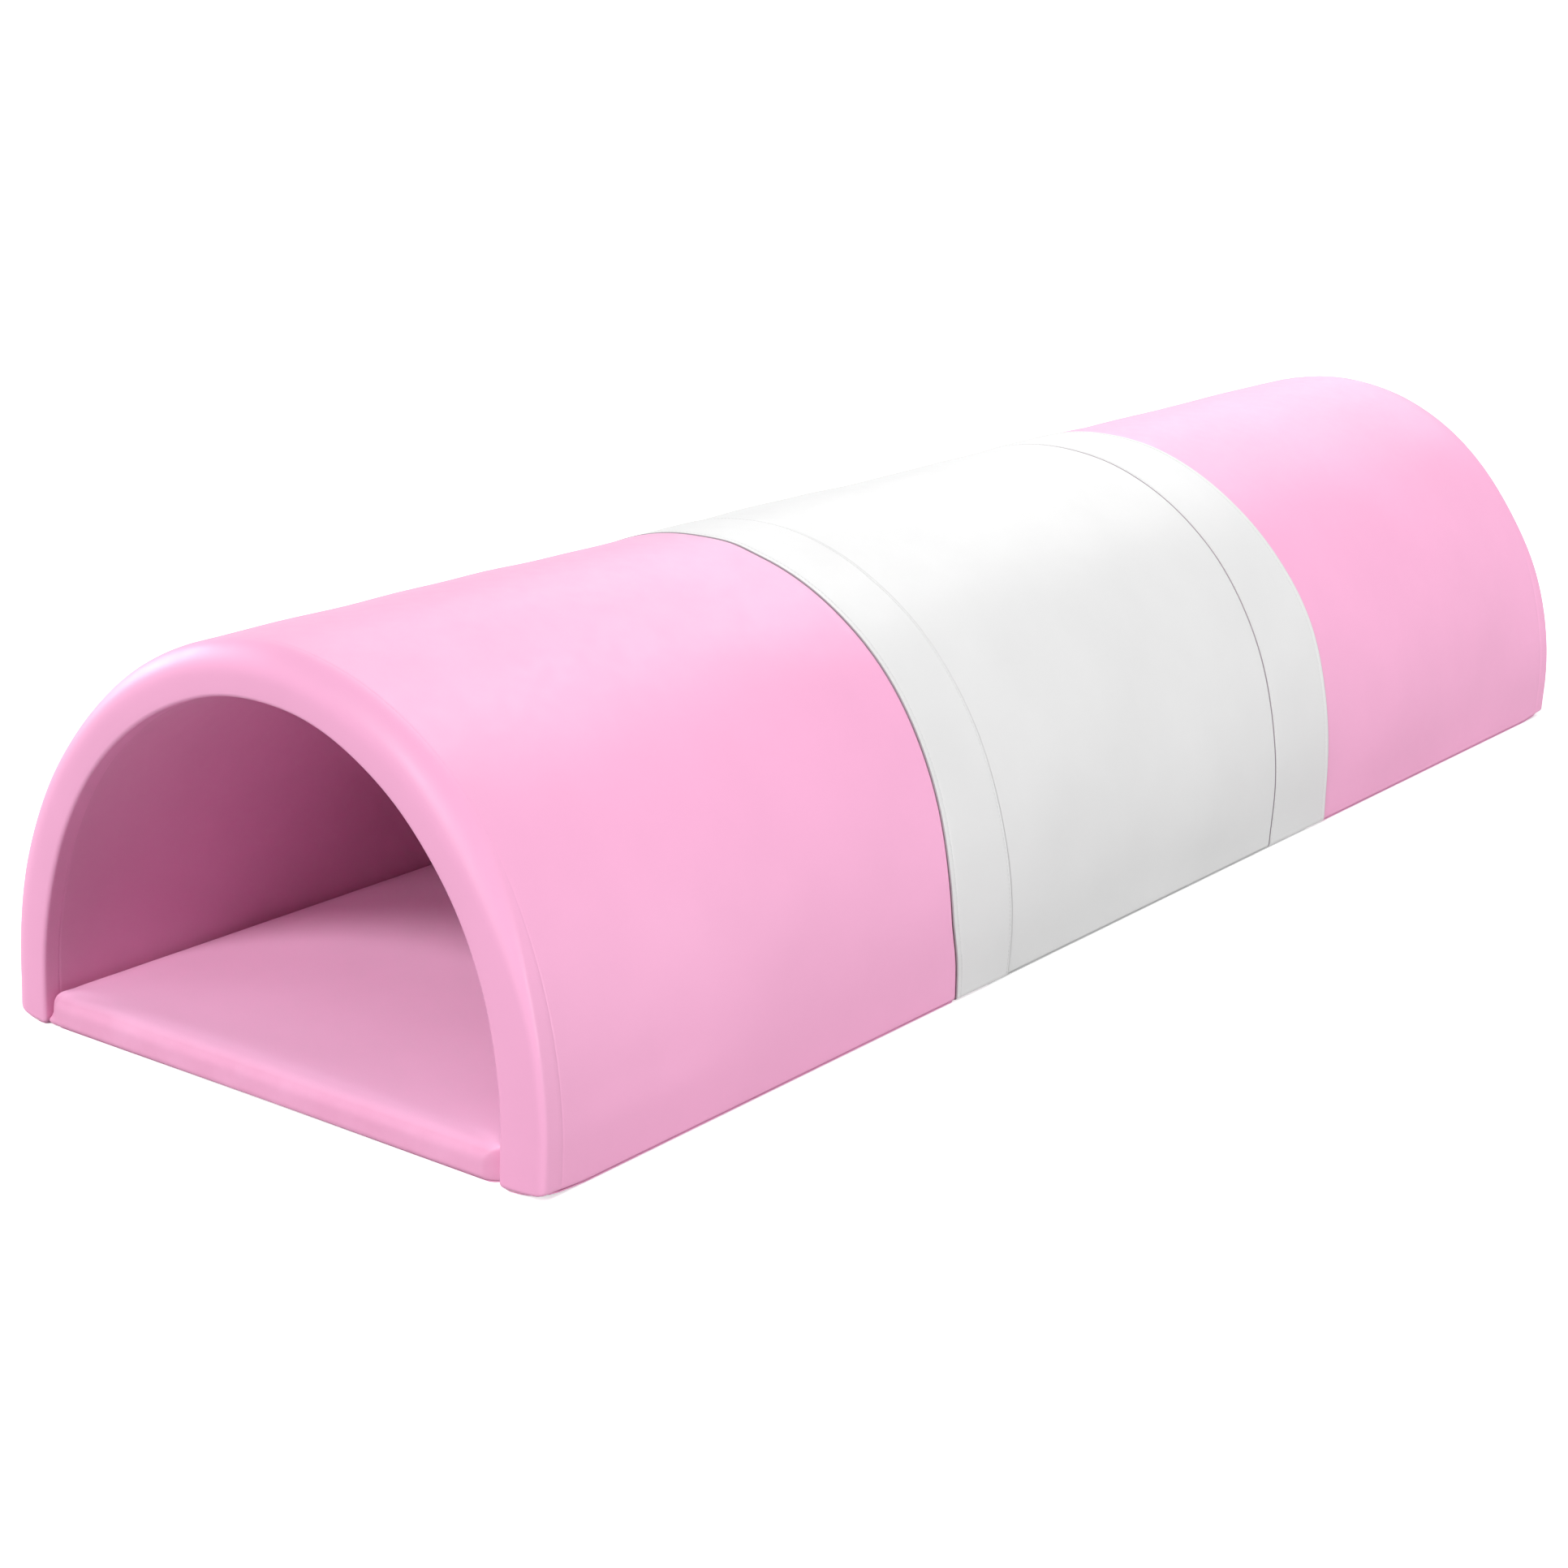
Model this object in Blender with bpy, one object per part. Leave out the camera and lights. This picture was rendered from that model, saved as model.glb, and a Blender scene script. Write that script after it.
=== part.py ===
"""Soft play crawl tunnel: three padded arches held together by flaps, over a floor mat.

Each arch is a foam core in a sewn leatherette cover. The two pink end arches are alike, the rear
one turned round. The white middle arch carries a flap at each end, which laps over its neighbour
and holds it by hook and loop, the front one further than the rear one. The mat lies between the
feet. Every cover has a zip underneath, so that the foam comes out.

Metres, +Z up. The length runs along Y with the front mouth at -Y, and the origin is on the floor
at the middle. Run it with blender --background --python part.py, or from the text editor.
"""

import math
from functools import partial

import bmesh
import bpy
from mathutils import Vector

# The arch, seen from its mouth: half an ellipse on two short straight legs
width = 0.600
height = 0.382
leg_height = 0.040
wall = 0.0435
arc_steps = 32

# Along the length
module_length = 0.635
module_count = 3

# Leatherette, and the space between pieces that touch
cover = 0.0012
gap = 0.0003

# Rounded edges of the mouth
rim_outer_radius = 0.024
rim_inner_radius = 0.008
rim_outer_steps = 4
rim_inner_steps = 2

# Flaps of the middle arch: two layers of leatherette, hemmed
flap_thickness = 0.0018
front_flap_overlap = 0.062
front_flap_sewn = 0.029
rear_flap_overlap = 0.040
rear_flap_sewn = 0.079

# Hook and loop bands, with the step that they press into the end arch
band_thickness = 0.0008
band_width = 0.025
band_edge_space = 0.0065
press_ramp = 0.005

# Zips: the tape lies up in a slot under the foot, with its coil facing down
zip_recess = 0.0040
zip_tape_width = 0.022
zip_tape_thickness = 0.0008
zip_tape_end = 0.008
zip_end_space = 0.045
coil_width = 0.0050
coil_height = 0.0018
coil_shoulder_share = 0.33
slider_width = 0.0086
slider_length = 0.0130
slider_floor_space = 0.0006
slider_side_space = 0.0012
slider_nose = 0.0030
slider_coil_space = 0.0003
slider_end_space = 0.0040
groove_side_space = 0.0010

# Floor mat: a cushion with a crown and soft edges
mat_thickness = 0.030
mat_crown = 0.0035
mat_side_space = 0.0006
mat_end_space = 0.002
mat_top_radius = 0.011
mat_base_radius = 0.005
mat_corner_radius = 0.014
mat_side_drawn_in = 0.0015
mat_zip_side_space = 0.0659
mat_zip_end_offset = 0.060
corner_steps = 4
edge_steps = 3
side_steps = 6
crown_shares = (0.10, 0.28, 0.52, 0.80)
least_corner_radius = 0.002

# One overrun for every cutter
overrun = 0.002

# Sizes that follow from the ones above
half_width = width / 2
round_height = height - leg_height
total_length = module_length * module_count
arch_length = module_length - gap / 2
foot_top = cover + gap
press_depth = 2 * (band_thickness + gap)
zip_length = module_length - 2 * zip_end_space
zip_centre = half_width - wall / 2
tape_bottom = zip_recess + gap
tape_top = tape_bottom + zip_tape_thickness
groove_top = tape_top + gap
slot_width = slider_width + 2 * slider_side_space
groove_width = zip_tape_width + 2 * groove_side_space
mat_half_width = half_width - wall - mat_side_space
mat_half_length = total_length / 2 - mat_end_space
mat_zip_length = 2 * (mat_half_width - mat_zip_side_space)

SHARP_ANGLE = math.radians(40)


def clear_scene():
    for old in list(bpy.data.objects):
        bpy.data.objects.remove(old)


def make_material(name, colour, roughness, metallic=0.0):
    material = bpy.data.materials.new(name)
    material.use_nodes = True
    shader = material.node_tree.nodes["Principled BSDF"]
    shader.inputs["Base Color"].default_value = (*colour, 1.0)
    shader.inputs["Roughness"].default_value = roughness
    shader.inputs["Metallic"].default_value = metallic
    material.diffuse_color = (*colour, 1.0)
    return material


def make_frame(name, place, turn=0.0):
    """An empty that carries the pieces of one body."""
    frame = bpy.data.objects.new(name, None)
    frame.location = place
    frame.rotation_euler = (0.0, 0.0, turn)
    bpy.context.scene.collection.objects.link(frame)
    return frame


def add_piece(name, shape, parent, material, place=(0.0, 0.0, 0.0)):
    """Turns a bmesh into a named object under its parent."""
    bmesh.ops.recalc_face_normals(shape, faces=shape.faces)
    mesh = bpy.data.meshes.new(name)
    shape.to_mesh(mesh)
    shape.free()
    if material:
        mesh.materials.append(material)
    mesh.shade_smooth()
    mesh.set_sharp_from_angle(angle=SHARP_ANGLE)
    piece = bpy.data.objects.new(name, mesh)
    piece.parent = parent
    piece.location = place
    bpy.context.scene.collection.objects.link(piece)
    return piece


def make_cutter(name, shape, parent):
    cutter = add_piece(name, shape, parent, None)
    cutter.hide_render = True
    cutter.display_type = "WIRE"
    return cutter


def add_boolean(piece, other, operation):
    step = piece.modifiers.new(operation.title(), "BOOLEAN")
    step.operation = operation
    step.solver = "EXACT"
    step.object = other


def box(low, high):
    """A bmesh box between two corners."""
    shape = bmesh.new()
    centre = (Vector(low) + Vector(high)) / 2
    size = Vector(high) - Vector(low)
    bmesh.ops.create_cube(shape, size=1.0)
    bmesh.ops.scale(shape, vec=size, verts=shape.verts)
    bmesh.ops.translate(shape, vec=centre, verts=shape.verts)
    return shape


def extrude_outline(outline, rise):
    """A bmesh prism: the outline, a loop of 3D points, pushed along the vector rise."""
    shape = bmesh.new()
    face = shape.faces.new([shape.verts.new(point) for point in outline])
    pushed = bmesh.ops.extrude_face_region(shape, geom=[face])
    moved = [item for item in pushed["geom"] if isinstance(item, bmesh.types.BMVert)]
    bmesh.ops.translate(shape, vec=rise, verts=moved)
    return shape


def loft(rings):
    """A bmesh through a row of closed rings with as many points each, closed at both ends."""
    shape = bmesh.new()
    rows = [[shape.verts.new(point) for point in ring] for ring in rings]
    for row, following in zip(rows, rows[1:]):
        for index, vert in enumerate(row):
            after = (index + 1) % len(row)
            shape.faces.new((vert, row[after], following[after], following[index]))
    shape.faces.new(rows[0])
    shape.faces.new(rows[-1])
    return shape


def quarter(centre, radius, start, steps):
    """Points of a quarter turn about a centre, from the angle start in degrees."""
    turns = [math.radians(start + 90 * step / steps) for step in range(steps + 1)]
    return [(centre[0] + radius * math.cos(t), centre[1] + radius * math.sin(t)) for t in turns]


# The arch wall. A profile is a loop of (along, depth) points: along the length from the mouth,
# and depth inside the outer surface. It is swept from the right foot over to the left one.


def arch_line(depth, foot):
    """The (x, z) points of the arch at one depth inside its outer surface."""
    line = [(half_width - depth, foot)]
    for step in range(arc_steps + 1):
        angle = math.pi * step / arc_steps
        normal = Vector((math.cos(angle) / half_width, math.sin(angle) / round_height)).normalized()
        across = half_width * math.cos(angle) - depth * normal.x
        up = leg_height + round_height * math.sin(angle) - depth * normal.y
        line.append((across, up))
    line.append((depth - half_width, foot))
    return line


def sweep_arch(profile, foot=foot_top):
    lines = [arch_line(depth, foot) for along, depth in profile]
    stations = range(len(lines[0]))
    rings = [
        [(line[station][0], along, line[station][1]) for line, (along, depth) in zip(lines, profile)]
        for station in stations
    ]
    return loft(rings)


def rectangle(along_from, along_to, depth_from, depth_to):
    return [
        (along_from, depth_from),
        (along_to, depth_from),
        (along_to, depth_to),
        (along_from, depth_to),
    ]


def rim_path(inset=0.0):
    """The mouth's face and its rounded edges, from the outer surface round to the inner one."""
    outer_centre = (rim_outer_radius, rim_outer_radius)
    inner_centre = (rim_inner_radius, wall - rim_inner_radius)
    outer_edge = quarter(outer_centre, rim_outer_radius - inset, 180, rim_outer_steps)[::-1]
    inner_edge = quarter(inner_centre, rim_inner_radius - inset, 90, rim_inner_steps)[::-1]
    return outer_edge + inner_edge


def pressed_path(overlap, inset=0.0):
    """The outer surface behind the rim, pressed in where the neighbour's flap lies on it."""
    flap_border = module_length - overlap
    return [
        (flap_border, inset),
        (flap_border + press_ramp, press_depth + inset),
        (arch_length - inset, press_depth + inset),
    ]


def end_arch_outline(overlap, inset=0.0):
    """The whole wall of an end arch, cut along its length, all sides moved in by inset."""
    inner_end = [(arch_length - inset, wall - inset)]
    return rim_path(inset)[::-1] + pressed_path(overlap, inset) + inner_end


def middle_arch_outline(inset=0.0):
    return rectangle(gap / 2 + inset, arch_length - inset, inset, wall - inset)


def foot_outline(outline, side):
    """A wall outline laid flat on the floor under one leg: side is 1 for the right one."""
    return [(side * (half_width - depth), along, 0.0) for along, depth in outline]


# Zips. Each lies along its own Y axis, with its middle at the origin, under a panel.


def zip_coil(length):
    """The closed teeth, a ridge below the tape with rounded corners, sunk into the tape above."""
    half = coil_width / 2
    bottom = tape_bottom - coil_height
    sunk = tape_bottom + zip_tape_thickness / 2
    shoulder = coil_height * coil_shoulder_share
    outline = [
        (-half, sunk),
        (-half, bottom + shoulder),
        (shoulder - half, bottom),
        (half - shoulder, bottom),
        (half, bottom + shoulder),
        (half, sunk),
    ]
    coil = length - 2 * gap
    return extrude_outline([(x, -coil / 2, z) for x, z in outline], (0.0, coil, 0.0))


def zip_slider():
    """A saddle over the coil, with a nose at its closing end and no pull tab."""
    half = slider_width / 2
    channel = coil_width / 2 + slider_coil_space
    channel_top = tape_bottom - coil_height - slider_coil_space
    top = tape_bottom - gap
    outline = [
        (-half, top),
        (-half, slider_floor_space),
        (half, slider_floor_space),
        (half, top),
        (channel, top),
        (channel, channel_top),
        (-channel, channel_top),
        (-channel, top),
    ]
    shape = extrude_outline([(x, -slider_length / 2, z) for x, z in outline], (0.0, slider_length, 0.0))
    nose = slider_length / 2 - slider_nose
    for vert in shape.verts:
        if vert.co.y > nose and abs(vert.co.x) > channel + slider_coil_space:
            vert.co.y = nose
    return shape


def slotted_panel(name, panel, length, turn, place, parent, material):
    """A base panel with a zip slot, whose edges turn up to the tape."""
    piece = add_piece(name, panel, parent, material)
    lip = slot_width / 2 + cover
    lip_length = length / 2 + cover
    raised = box((-lip, -lip_length, 0.0), (lip, lip_length, zip_recess))
    slot = box(
        (-slot_width / 2, -length / 2, -overrun),
        (slot_width / 2, length / 2, zip_recess + overrun),
    )
    for label, shape, operation in (("lips", raised, "UNION"), ("slot", slot, "DIFFERENCE")):
        helper = make_cutter(f"{name}_{label}", shape, parent)
        helper.location = place
        helper.rotation_euler = (0.0, 0.0, turn)
        add_boolean(piece, helper, operation)
    return piece


def cut_zip_groove(core, length, turn, place, parent):
    """Room in the foam above the panel for the turned-up slot and the tape."""
    half = groove_width / 2
    reach = length / 2 + zip_tape_end + groove_side_space
    groove = make_cutter(
        f"{core.name}_groove", box((-half, -reach, -overrun), (half, reach, groove_top)), parent
    )
    groove.location = place
    groove.rotation_euler = (0.0, 0.0, turn)
    add_boolean(core, groove, "DIFFERENCE")


def add_zip(prefix, length, turn, place, parent, tape_material, slider_material):
    """Tape and coil joined as one strip, and the slider at one end of its travel."""
    half = zip_tape_width / 2
    reach = length / 2 + zip_tape_end
    tape = box((-half, -reach, tape_bottom), (half, reach, tape_top))
    strip = add_piece(f"{prefix}_zip", tape, parent, tape_material, place)
    coil = make_cutter(f"{prefix}_zip_coil", zip_coil(length), strip)
    add_boolean(strip, coil, "UNION")
    strip.rotation_euler = (0.0, 0.0, turn)
    travel = length / 2 - slider_length / 2 - slider_end_space
    start = Vector((-math.sin(turn), math.cos(turn), 0.0)) * travel
    slider_place = Vector(place) + start
    slider = add_piece(f"{prefix}_zip_slider", zip_slider(), parent, slider_material, slider_place)
    slider.rotation_euler = (0.0, 0.0, turn)


# The arches


def build_core_and_feet(prefix, outline, frame, materials):
    """Foam core, and the two panels that it stands on, the right one with the zip."""
    skin, foam, tape, metal = materials
    place = (zip_centre, module_length / 2, 0.0)
    core = add_piece(f"{prefix}_foam_core", sweep_arch(outline(cover + gap)), frame, foam)
    cut_zip_groove(core, zip_length, 0.0, place, frame)
    rise = (0.0, 0.0, cover)
    left = extrude_outline(foot_outline(outline(), -1), rise)
    add_piece(f"{prefix}_left_foot_panel", left, frame, skin)
    right = extrude_outline(foot_outline(outline(), 1), rise)
    slotted_panel(f"{prefix}_right_foot_panel", right, zip_length, 0.0, place, frame, skin)
    add_zip(prefix, zip_length, 0.0, place, frame, tape, metal)


def joint_panel(along_from, outer_depth):
    """The panel that closes the foam where two arches meet."""
    return rectangle(along_from, along_from + cover, outer_depth + cover + gap, wall - cover - gap)


def build_end_arch(prefix, overlap, frame, skin, loop, foam, tape, metal):
    build_core_and_feet(prefix, partial(end_arch_outline, overlap), frame, (skin, foam, tape, metal))
    rim = rim_path() + rim_path(cover)[::-1]
    add_piece(f"{prefix}_mouth_rim", sweep_arch(rim), frame, skin)
    start = rim_outer_radius + gap
    outer = [(start, 0.0)] + pressed_path(overlap)[:2] + [(arch_length, press_depth)]
    under = [(start, cover)] + pressed_path(overlap, cover)[:2] + [(arch_length, press_depth + cover)]
    add_piece(f"{prefix}_outer_cover", sweep_arch(outer + under[::-1]), frame, skin)
    lining = rectangle(rim_inner_radius + gap, arch_length, wall - cover, wall)
    add_piece(f"{prefix}_inner_lining", sweep_arch(lining), frame, skin)
    panel = joint_panel(arch_length - cover, press_depth)
    add_piece(f"{prefix}_joint_panel", sweep_arch(panel), frame, skin)
    band_from = module_length - overlap + band_edge_space
    band_top = press_depth - gap - band_thickness
    band = rectangle(band_from, band_from + band_width, band_top, press_depth - gap)
    add_piece(f"{prefix}_loop_band", sweep_arch(band), frame, loop)


def build_middle_arch(frame, skin, hook, foam, tape, metal):
    build_core_and_feet("middle", middle_arch_outline, frame, (skin, foam, tape, metal))
    start = gap / 2
    end = arch_length
    add_piece("middle_outer_cover", sweep_arch(rectangle(start, end, 0.0, cover)), frame, skin)
    lining = rectangle(start, end, wall - cover, wall)
    add_piece("middle_inner_lining", sweep_arch(lining), frame, skin)
    add_piece("middle_front_panel", sweep_arch(joint_panel(start, 0.0)), frame, skin)
    add_piece("middle_rear_panel", sweep_arch(joint_panel(end - cover, 0.0)), frame, skin)
    front = (-front_flap_overlap, front_flap_sewn)
    rear = (module_length - rear_flap_sewn, module_length + rear_flap_overlap)
    front_band = -front_flap_overlap + band_edge_space
    rear_band = module_length + rear_flap_overlap - band_edge_space - band_width
    for side, (flap_from, flap_to), band_from in (("front", front, front_band), ("rear", rear, rear_band)):
        flap = rectangle(flap_from, flap_to, -gap - flap_thickness, -gap)
        add_piece(f"{side}_flap", sweep_arch(flap), frame, skin)
        band = rectangle(band_from, band_from + band_width, 0.0, band_thickness)
        add_piece(f"{side}_hook_band", sweep_arch(band), frame, hook)


# The mat


def mat_ring(half_across, half_along, corner, up):
    """One level of the mat: a rounded rectangle whose sides are drawn in between the corners."""
    corner = max(corner, least_corner_radius)
    signs = ((1, 1), (-1, 1), (-1, -1), (1, -1))
    centres = [Vector((x * (half_across - corner), y * (half_along - corner))) for x, y in signs]
    ring = []
    for index, centre in enumerate(centres):
        ring += quarter(centre, corner, 90 * index, corner_steps)
        following = centres[(index + 1) % len(centres)]
        facing = math.radians(90 * (index + 1))
        outward = Vector((math.cos(facing), math.sin(facing)))
        for step in range(1, side_steps):
            share = step / side_steps
            bow = corner - mat_side_drawn_in * math.sin(math.pi * share) ** 2
            ring.append(tuple(centre.lerp(following, share) + outward * bow))
    return [(x, y, up) for x, y in ring]


def mat_rings(inset, base):
    """Levels of the mat from its base edge up, over the top edge and in to the middle."""
    half_across = mat_half_width - inset
    half_along = mat_half_length - inset
    low = mat_base_radius
    high = mat_top_radius - inset
    top = mat_thickness - inset
    rings = []
    for step in range(edge_steps):
        angle = math.pi / 2 * step / edge_steps
        pull = low * (1 - math.sin(angle))
        rings.append((pull, base + low * (1 - math.cos(angle))))
    for step in range(edge_steps + 1):
        angle = math.pi / 2 * step / edge_steps
        rings.append((high * (1 - math.cos(angle)), top - high * (1 - math.sin(angle))))
    levels = [
        mat_ring(half_across - pull, half_along - pull, mat_corner_radius - inset - pull, up)
        for pull, up in rings
    ]
    flat = half_across - high
    for share in crown_shares:
        pull = high + flat * share
        swell = mat_crown * (1 - (1 - share) ** 2)
        levels.append(mat_ring(half_across - pull, half_along - pull, 0.0, top + swell))
    return levels


def build_mat(frame, skin, foam, tape, metal):
    base = [(x, y, 0.0) for x, y, z in mat_rings(0.0, 0.0)[0]]
    turn = math.pi / 2
    place = (0.0, mat_half_length - mat_zip_end_offset, 0.0)
    panel = extrude_outline(base, (0.0, 0.0, cover))
    slotted_panel("mat_base_panel", panel, mat_zip_length, turn, place, frame, skin)
    outside = mat_rings(0.0, foot_top)
    inside = mat_rings(cover, foot_top)
    add_piece("mat_top_cover", loft(inside[::-1] + outside), frame, skin)
    core = add_piece("mat_foam_core", loft(mat_rings(cover + gap, foot_top)), frame, foam)
    cut_zip_groove(core, mat_zip_length, turn, place, frame)
    add_zip("mat", mat_zip_length, turn, place, frame, tape, metal)


def main():
    clear_scene()
    pink = make_material("pink_leatherette", (0.91, 0.46, 0.69), 0.42)
    white = make_material("white_leatherette", (0.86, 0.86, 0.86), 0.42)
    foam = make_material("foam", (0.88, 0.84, 0.72), 0.95)
    hook = make_material("hook_band", (0.82, 0.82, 0.82), 0.80)
    loop = make_material("loop_band", (0.88, 0.55, 0.72), 0.95)
    tape = make_material("zip_tape", (0.78, 0.78, 0.78), 0.75)
    metal = make_material("zip_slider", (0.62, 0.62, 0.64), 0.35, 1.0)
    front = make_frame("front_arch", (0.0, -total_length / 2, 0.0))
    middle = make_frame("middle_arch", (0.0, -module_length / 2, 0.0))
    rear = make_frame("rear_arch", (0.0, total_length / 2, 0.0), math.pi)
    mat = make_frame("floor_mat", (0.0, 0.0, 0.0))
    build_end_arch("front", front_flap_overlap, front, pink, loop, foam, tape, metal)
    build_end_arch("rear", rear_flap_overlap, rear, pink, loop, foam, tape, metal)
    build_middle_arch(middle, white, hook, foam, tape, metal)
    build_mat(mat, pink, foam, tape, metal)
    bpy.context.view_layer.update()


main()
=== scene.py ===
"""The finish of a soft play crawl tunnel: padded covers, flaps, seams, floor mat and zips.

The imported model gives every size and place. Each operator makes one kind of piece round it, and
the panel in the sidebar lists them with the sizes and colours that can be changed. Metres, +Z up,
the front mouth at -Y. The wall is worked out in its own coordinates: the way along the arch from
the right foot to the left one, the reach from the middle of the tunnel towards a mouth, and the
depth below the outer surface.
"""

import math

import bmesh
import bpy
import numpy as np
from bpy.props import FloatProperty, FloatVectorProperty, IntProperty, PointerProperty
from mathutils import Euler, Matrix, Vector


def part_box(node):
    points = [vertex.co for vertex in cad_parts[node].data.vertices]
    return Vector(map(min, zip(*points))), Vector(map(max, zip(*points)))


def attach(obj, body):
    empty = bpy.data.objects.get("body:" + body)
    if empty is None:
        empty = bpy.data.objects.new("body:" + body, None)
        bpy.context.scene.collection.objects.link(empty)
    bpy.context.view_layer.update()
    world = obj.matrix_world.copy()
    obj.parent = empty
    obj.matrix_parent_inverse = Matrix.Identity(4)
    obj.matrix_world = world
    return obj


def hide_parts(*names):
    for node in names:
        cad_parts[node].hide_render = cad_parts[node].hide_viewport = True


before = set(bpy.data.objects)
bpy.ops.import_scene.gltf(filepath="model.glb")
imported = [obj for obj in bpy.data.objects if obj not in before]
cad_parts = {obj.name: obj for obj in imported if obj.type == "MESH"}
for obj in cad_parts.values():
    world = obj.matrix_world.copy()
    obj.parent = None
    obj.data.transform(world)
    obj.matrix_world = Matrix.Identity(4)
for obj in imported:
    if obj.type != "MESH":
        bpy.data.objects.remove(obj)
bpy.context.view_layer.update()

bl_info = {
    "name": "Play Tunnel Finish",
    "version": (1, 0, 0),
    "blender": (4, 5, 0),
    "location": "3D View > Sidebar > Play Tunnel",
    "description": "Padded covers, flaps, stitching, mat and zips of a crawl tunnel",
    "category": "Add Mesh",
}

PHOTO_PIXELS = 1932
SENSOR = 36.0

QUARTER = math.pi / 2
SHARP_ANGLE = math.radians(40)

# Fineness of the meshes: steps along the arch's curve, round a foot, along a cover, round a joint
# and a mat's edge, and cuts in a sole
TURN_STEPS = 721
FOOT_STEPS = 8
COVER_STEPS = 44
JOINT_STEPS = 6
EDGE_STEPS = 8
SOLE_CUTS = 8

# Mesh rows where a fabric turns into a seam, and beside a mat's rounded edge, in its radius
SEAM_SHARES = np.array((0.0, 0.04, 0.16, 0.4, 1.0))
EDGE_SHARES = (1.35, 1.7, 2.0, 2.3, 2.8)

# Mesh rows beside a flap's free edge, positive towards the flap, and how far they reach
BORDER_ROWS = 0.001 * np.array((
    -9.0, -6.5, -5.0, -4.0, -3.2, -2.5, -1.9, -1.5, -1.1, -0.8, -0.5, -0.2, 0.1, 0.4, 0.8, 1.3,
    1.8, 2.4, 3.0, 4.0, 6.0, 9.0))
BORDER_SPACE = 0.009

# The same beside its sewn edge, away from the flap
SEAM_ROWS = 0.001 * np.array(
    (-5.0, -3.2, -2.4, -2.1, -1.8, -1.5, -1.2, -0.9, -0.6, -0.3, 0.1, 1.0, 3.0))

# How far the rows of a cover are drawn along with the wave of a border and of a seam
BORDER_FADE = 0.07
SEAM_FADE = 0.05

# Sides of the mat: how far down each row is, and how far it has gone over to the base's outline
MAT_ROWS = ((0.3, 0.0), (0.6, 0.08), (0.82, 0.5))

# Shape of the tuck at the mat's front right corner
TUCK_SHARE = 0.75

# Heights between which the mat's colour changes from the painted shade of its edge to its top's
MAT_EDGE_SHADE_HEIGHTS = (0.0255, 0.0312)

# Space between two covers that are sewn together
SEAM_SPACE = 0.00002

# Rounding of a sole's edges, as a share of its thickness
SOLE_BEVEL = 0.25

# Wave of each flap's free edge: shift, height, place above the foot, and width below and above it
BORDER_WAVES = {
    "front": (0.0048, -0.0113, 0.085, 0.045, 0.103),
    "rear": (-0.0023, 0.0105, 0.225, 0.085, 0.105),
}

# The small kink in the front flap's free edge: its place and half length, in the arch's length
KINK_PLACE = 0.462
KINK_LENGTH = 0.018

# Length of the arch's line inside the wall, as a share of the outer one
LINING_SHARE = 0.93

END_ARCHES = (("front", -1.0), ("rear", 1.0))
ARCHES = ("front", "middle", "rear")
LIGHTS = {
    "front_light": "key", "low_front_light": "key", "high_front_light": "fill",
    "side_light": "fill", "back_light": "fill", "high_back_light": "fill", "left_light": "fill",
}


# Settings


def metres(name, description, default, least=None):
    """A length, with the smallest that it may be where it has a limit."""
    limits = {} if least is None else {"min": least}
    return FloatProperty(
        name=name, description=description, default=default, unit="LENGTH", precision=5, **limits)


def factor(name, description, default):
    """A share from 0 to 1."""
    return FloatProperty(
        name=name, description=description, default=default, subtype="FACTOR", min=0.0, max=1.0)


def shade(name, description, default):
    """A colour."""
    return FloatVectorProperty(
        name=name, description=description, default=default, subtype="COLOR", min=0.0, max=1.0)


def power(name, description, default):
    """The strength of a light or of a pressure."""
    return FloatProperty(name=name, description=description, default=default, min=0.0)


def degrees(name, description, turn):
    """An angle, given in degrees."""
    return FloatProperty(
        name=name, description=description, default=math.radians(turn), subtype="ANGLE")


def rotation(name, tilt, turn):
    """The rotation of a light, from degrees about the X and the Z axis."""
    return FloatVectorProperty(
        name=name, description="Rotation of that light",
        default=(math.radians(tilt), 0.0, math.radians(turn)), subtype="EULER")


class LeatheretteSettings(bpy.types.PropertyGroup):
    """Colours and surface of the coated fabric."""

    pink: shade("Pink", "Colour of the end arches and the mat", (0.86, 0.40, 0.62))
    white: shade("White", "Colour of the middle arch and its flaps", (0.71, 0.71, 0.71))
    # Painted shade: the linings are the pink fabric painted darker, as the crawl space is in shade
    lining: shade("Lining", "Colour of the pink linings", (0.77, 0.355, 0.55))
    # Painted shadow: the flap's cut edge is coloured dark so that a shadow line shows along the
    # flap's border
    flap_edge: shade(
        "Flap Edge", "Colour of the backing cloth that shows at the cut edge of a flap",
        (0.34, 0.29, 0.32))
    # Painted light: the mat is the same fabric as the pink arches, painted lighter to brighten its
    # top inside the tunnel
    mat: shade("Mat", "Colour of the floor mat", (1.0, 0.565, 0.805))
    roughness: factor("Roughness", "How satin the surface is", 0.44)
    gloss: factor("Gloss", "Strength of the surface's reflection", 0.3)
    grain_size: metres("Grain Size", "Width of one pebble of the embossed grain", 0.0011, 0.0002)
    grain_depth: metres("Grain Depth", "Height of the embossed grain", 0.00006, 0.0)
    # Dust and painted shade: the covers darken towards the floor, where less light reaches them
    soiling: factor("Soiling", "How much the covers darken near the floor", 0.1)
    # Painted shade: the mat's edge is darker than its top because of how the light falls, not from
    # handling or wear
    mat_edge_shade: shade(
        "Mat Edge Shade", "Colour of the mat's edge, which is handled and worn more than its top",
        (0.81, 0.37, 0.57))
    mat_edge_shade_share: factor("Mat Edge Shade Share", "How much of that colour shows on the mat's edge", 1.0)


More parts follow.
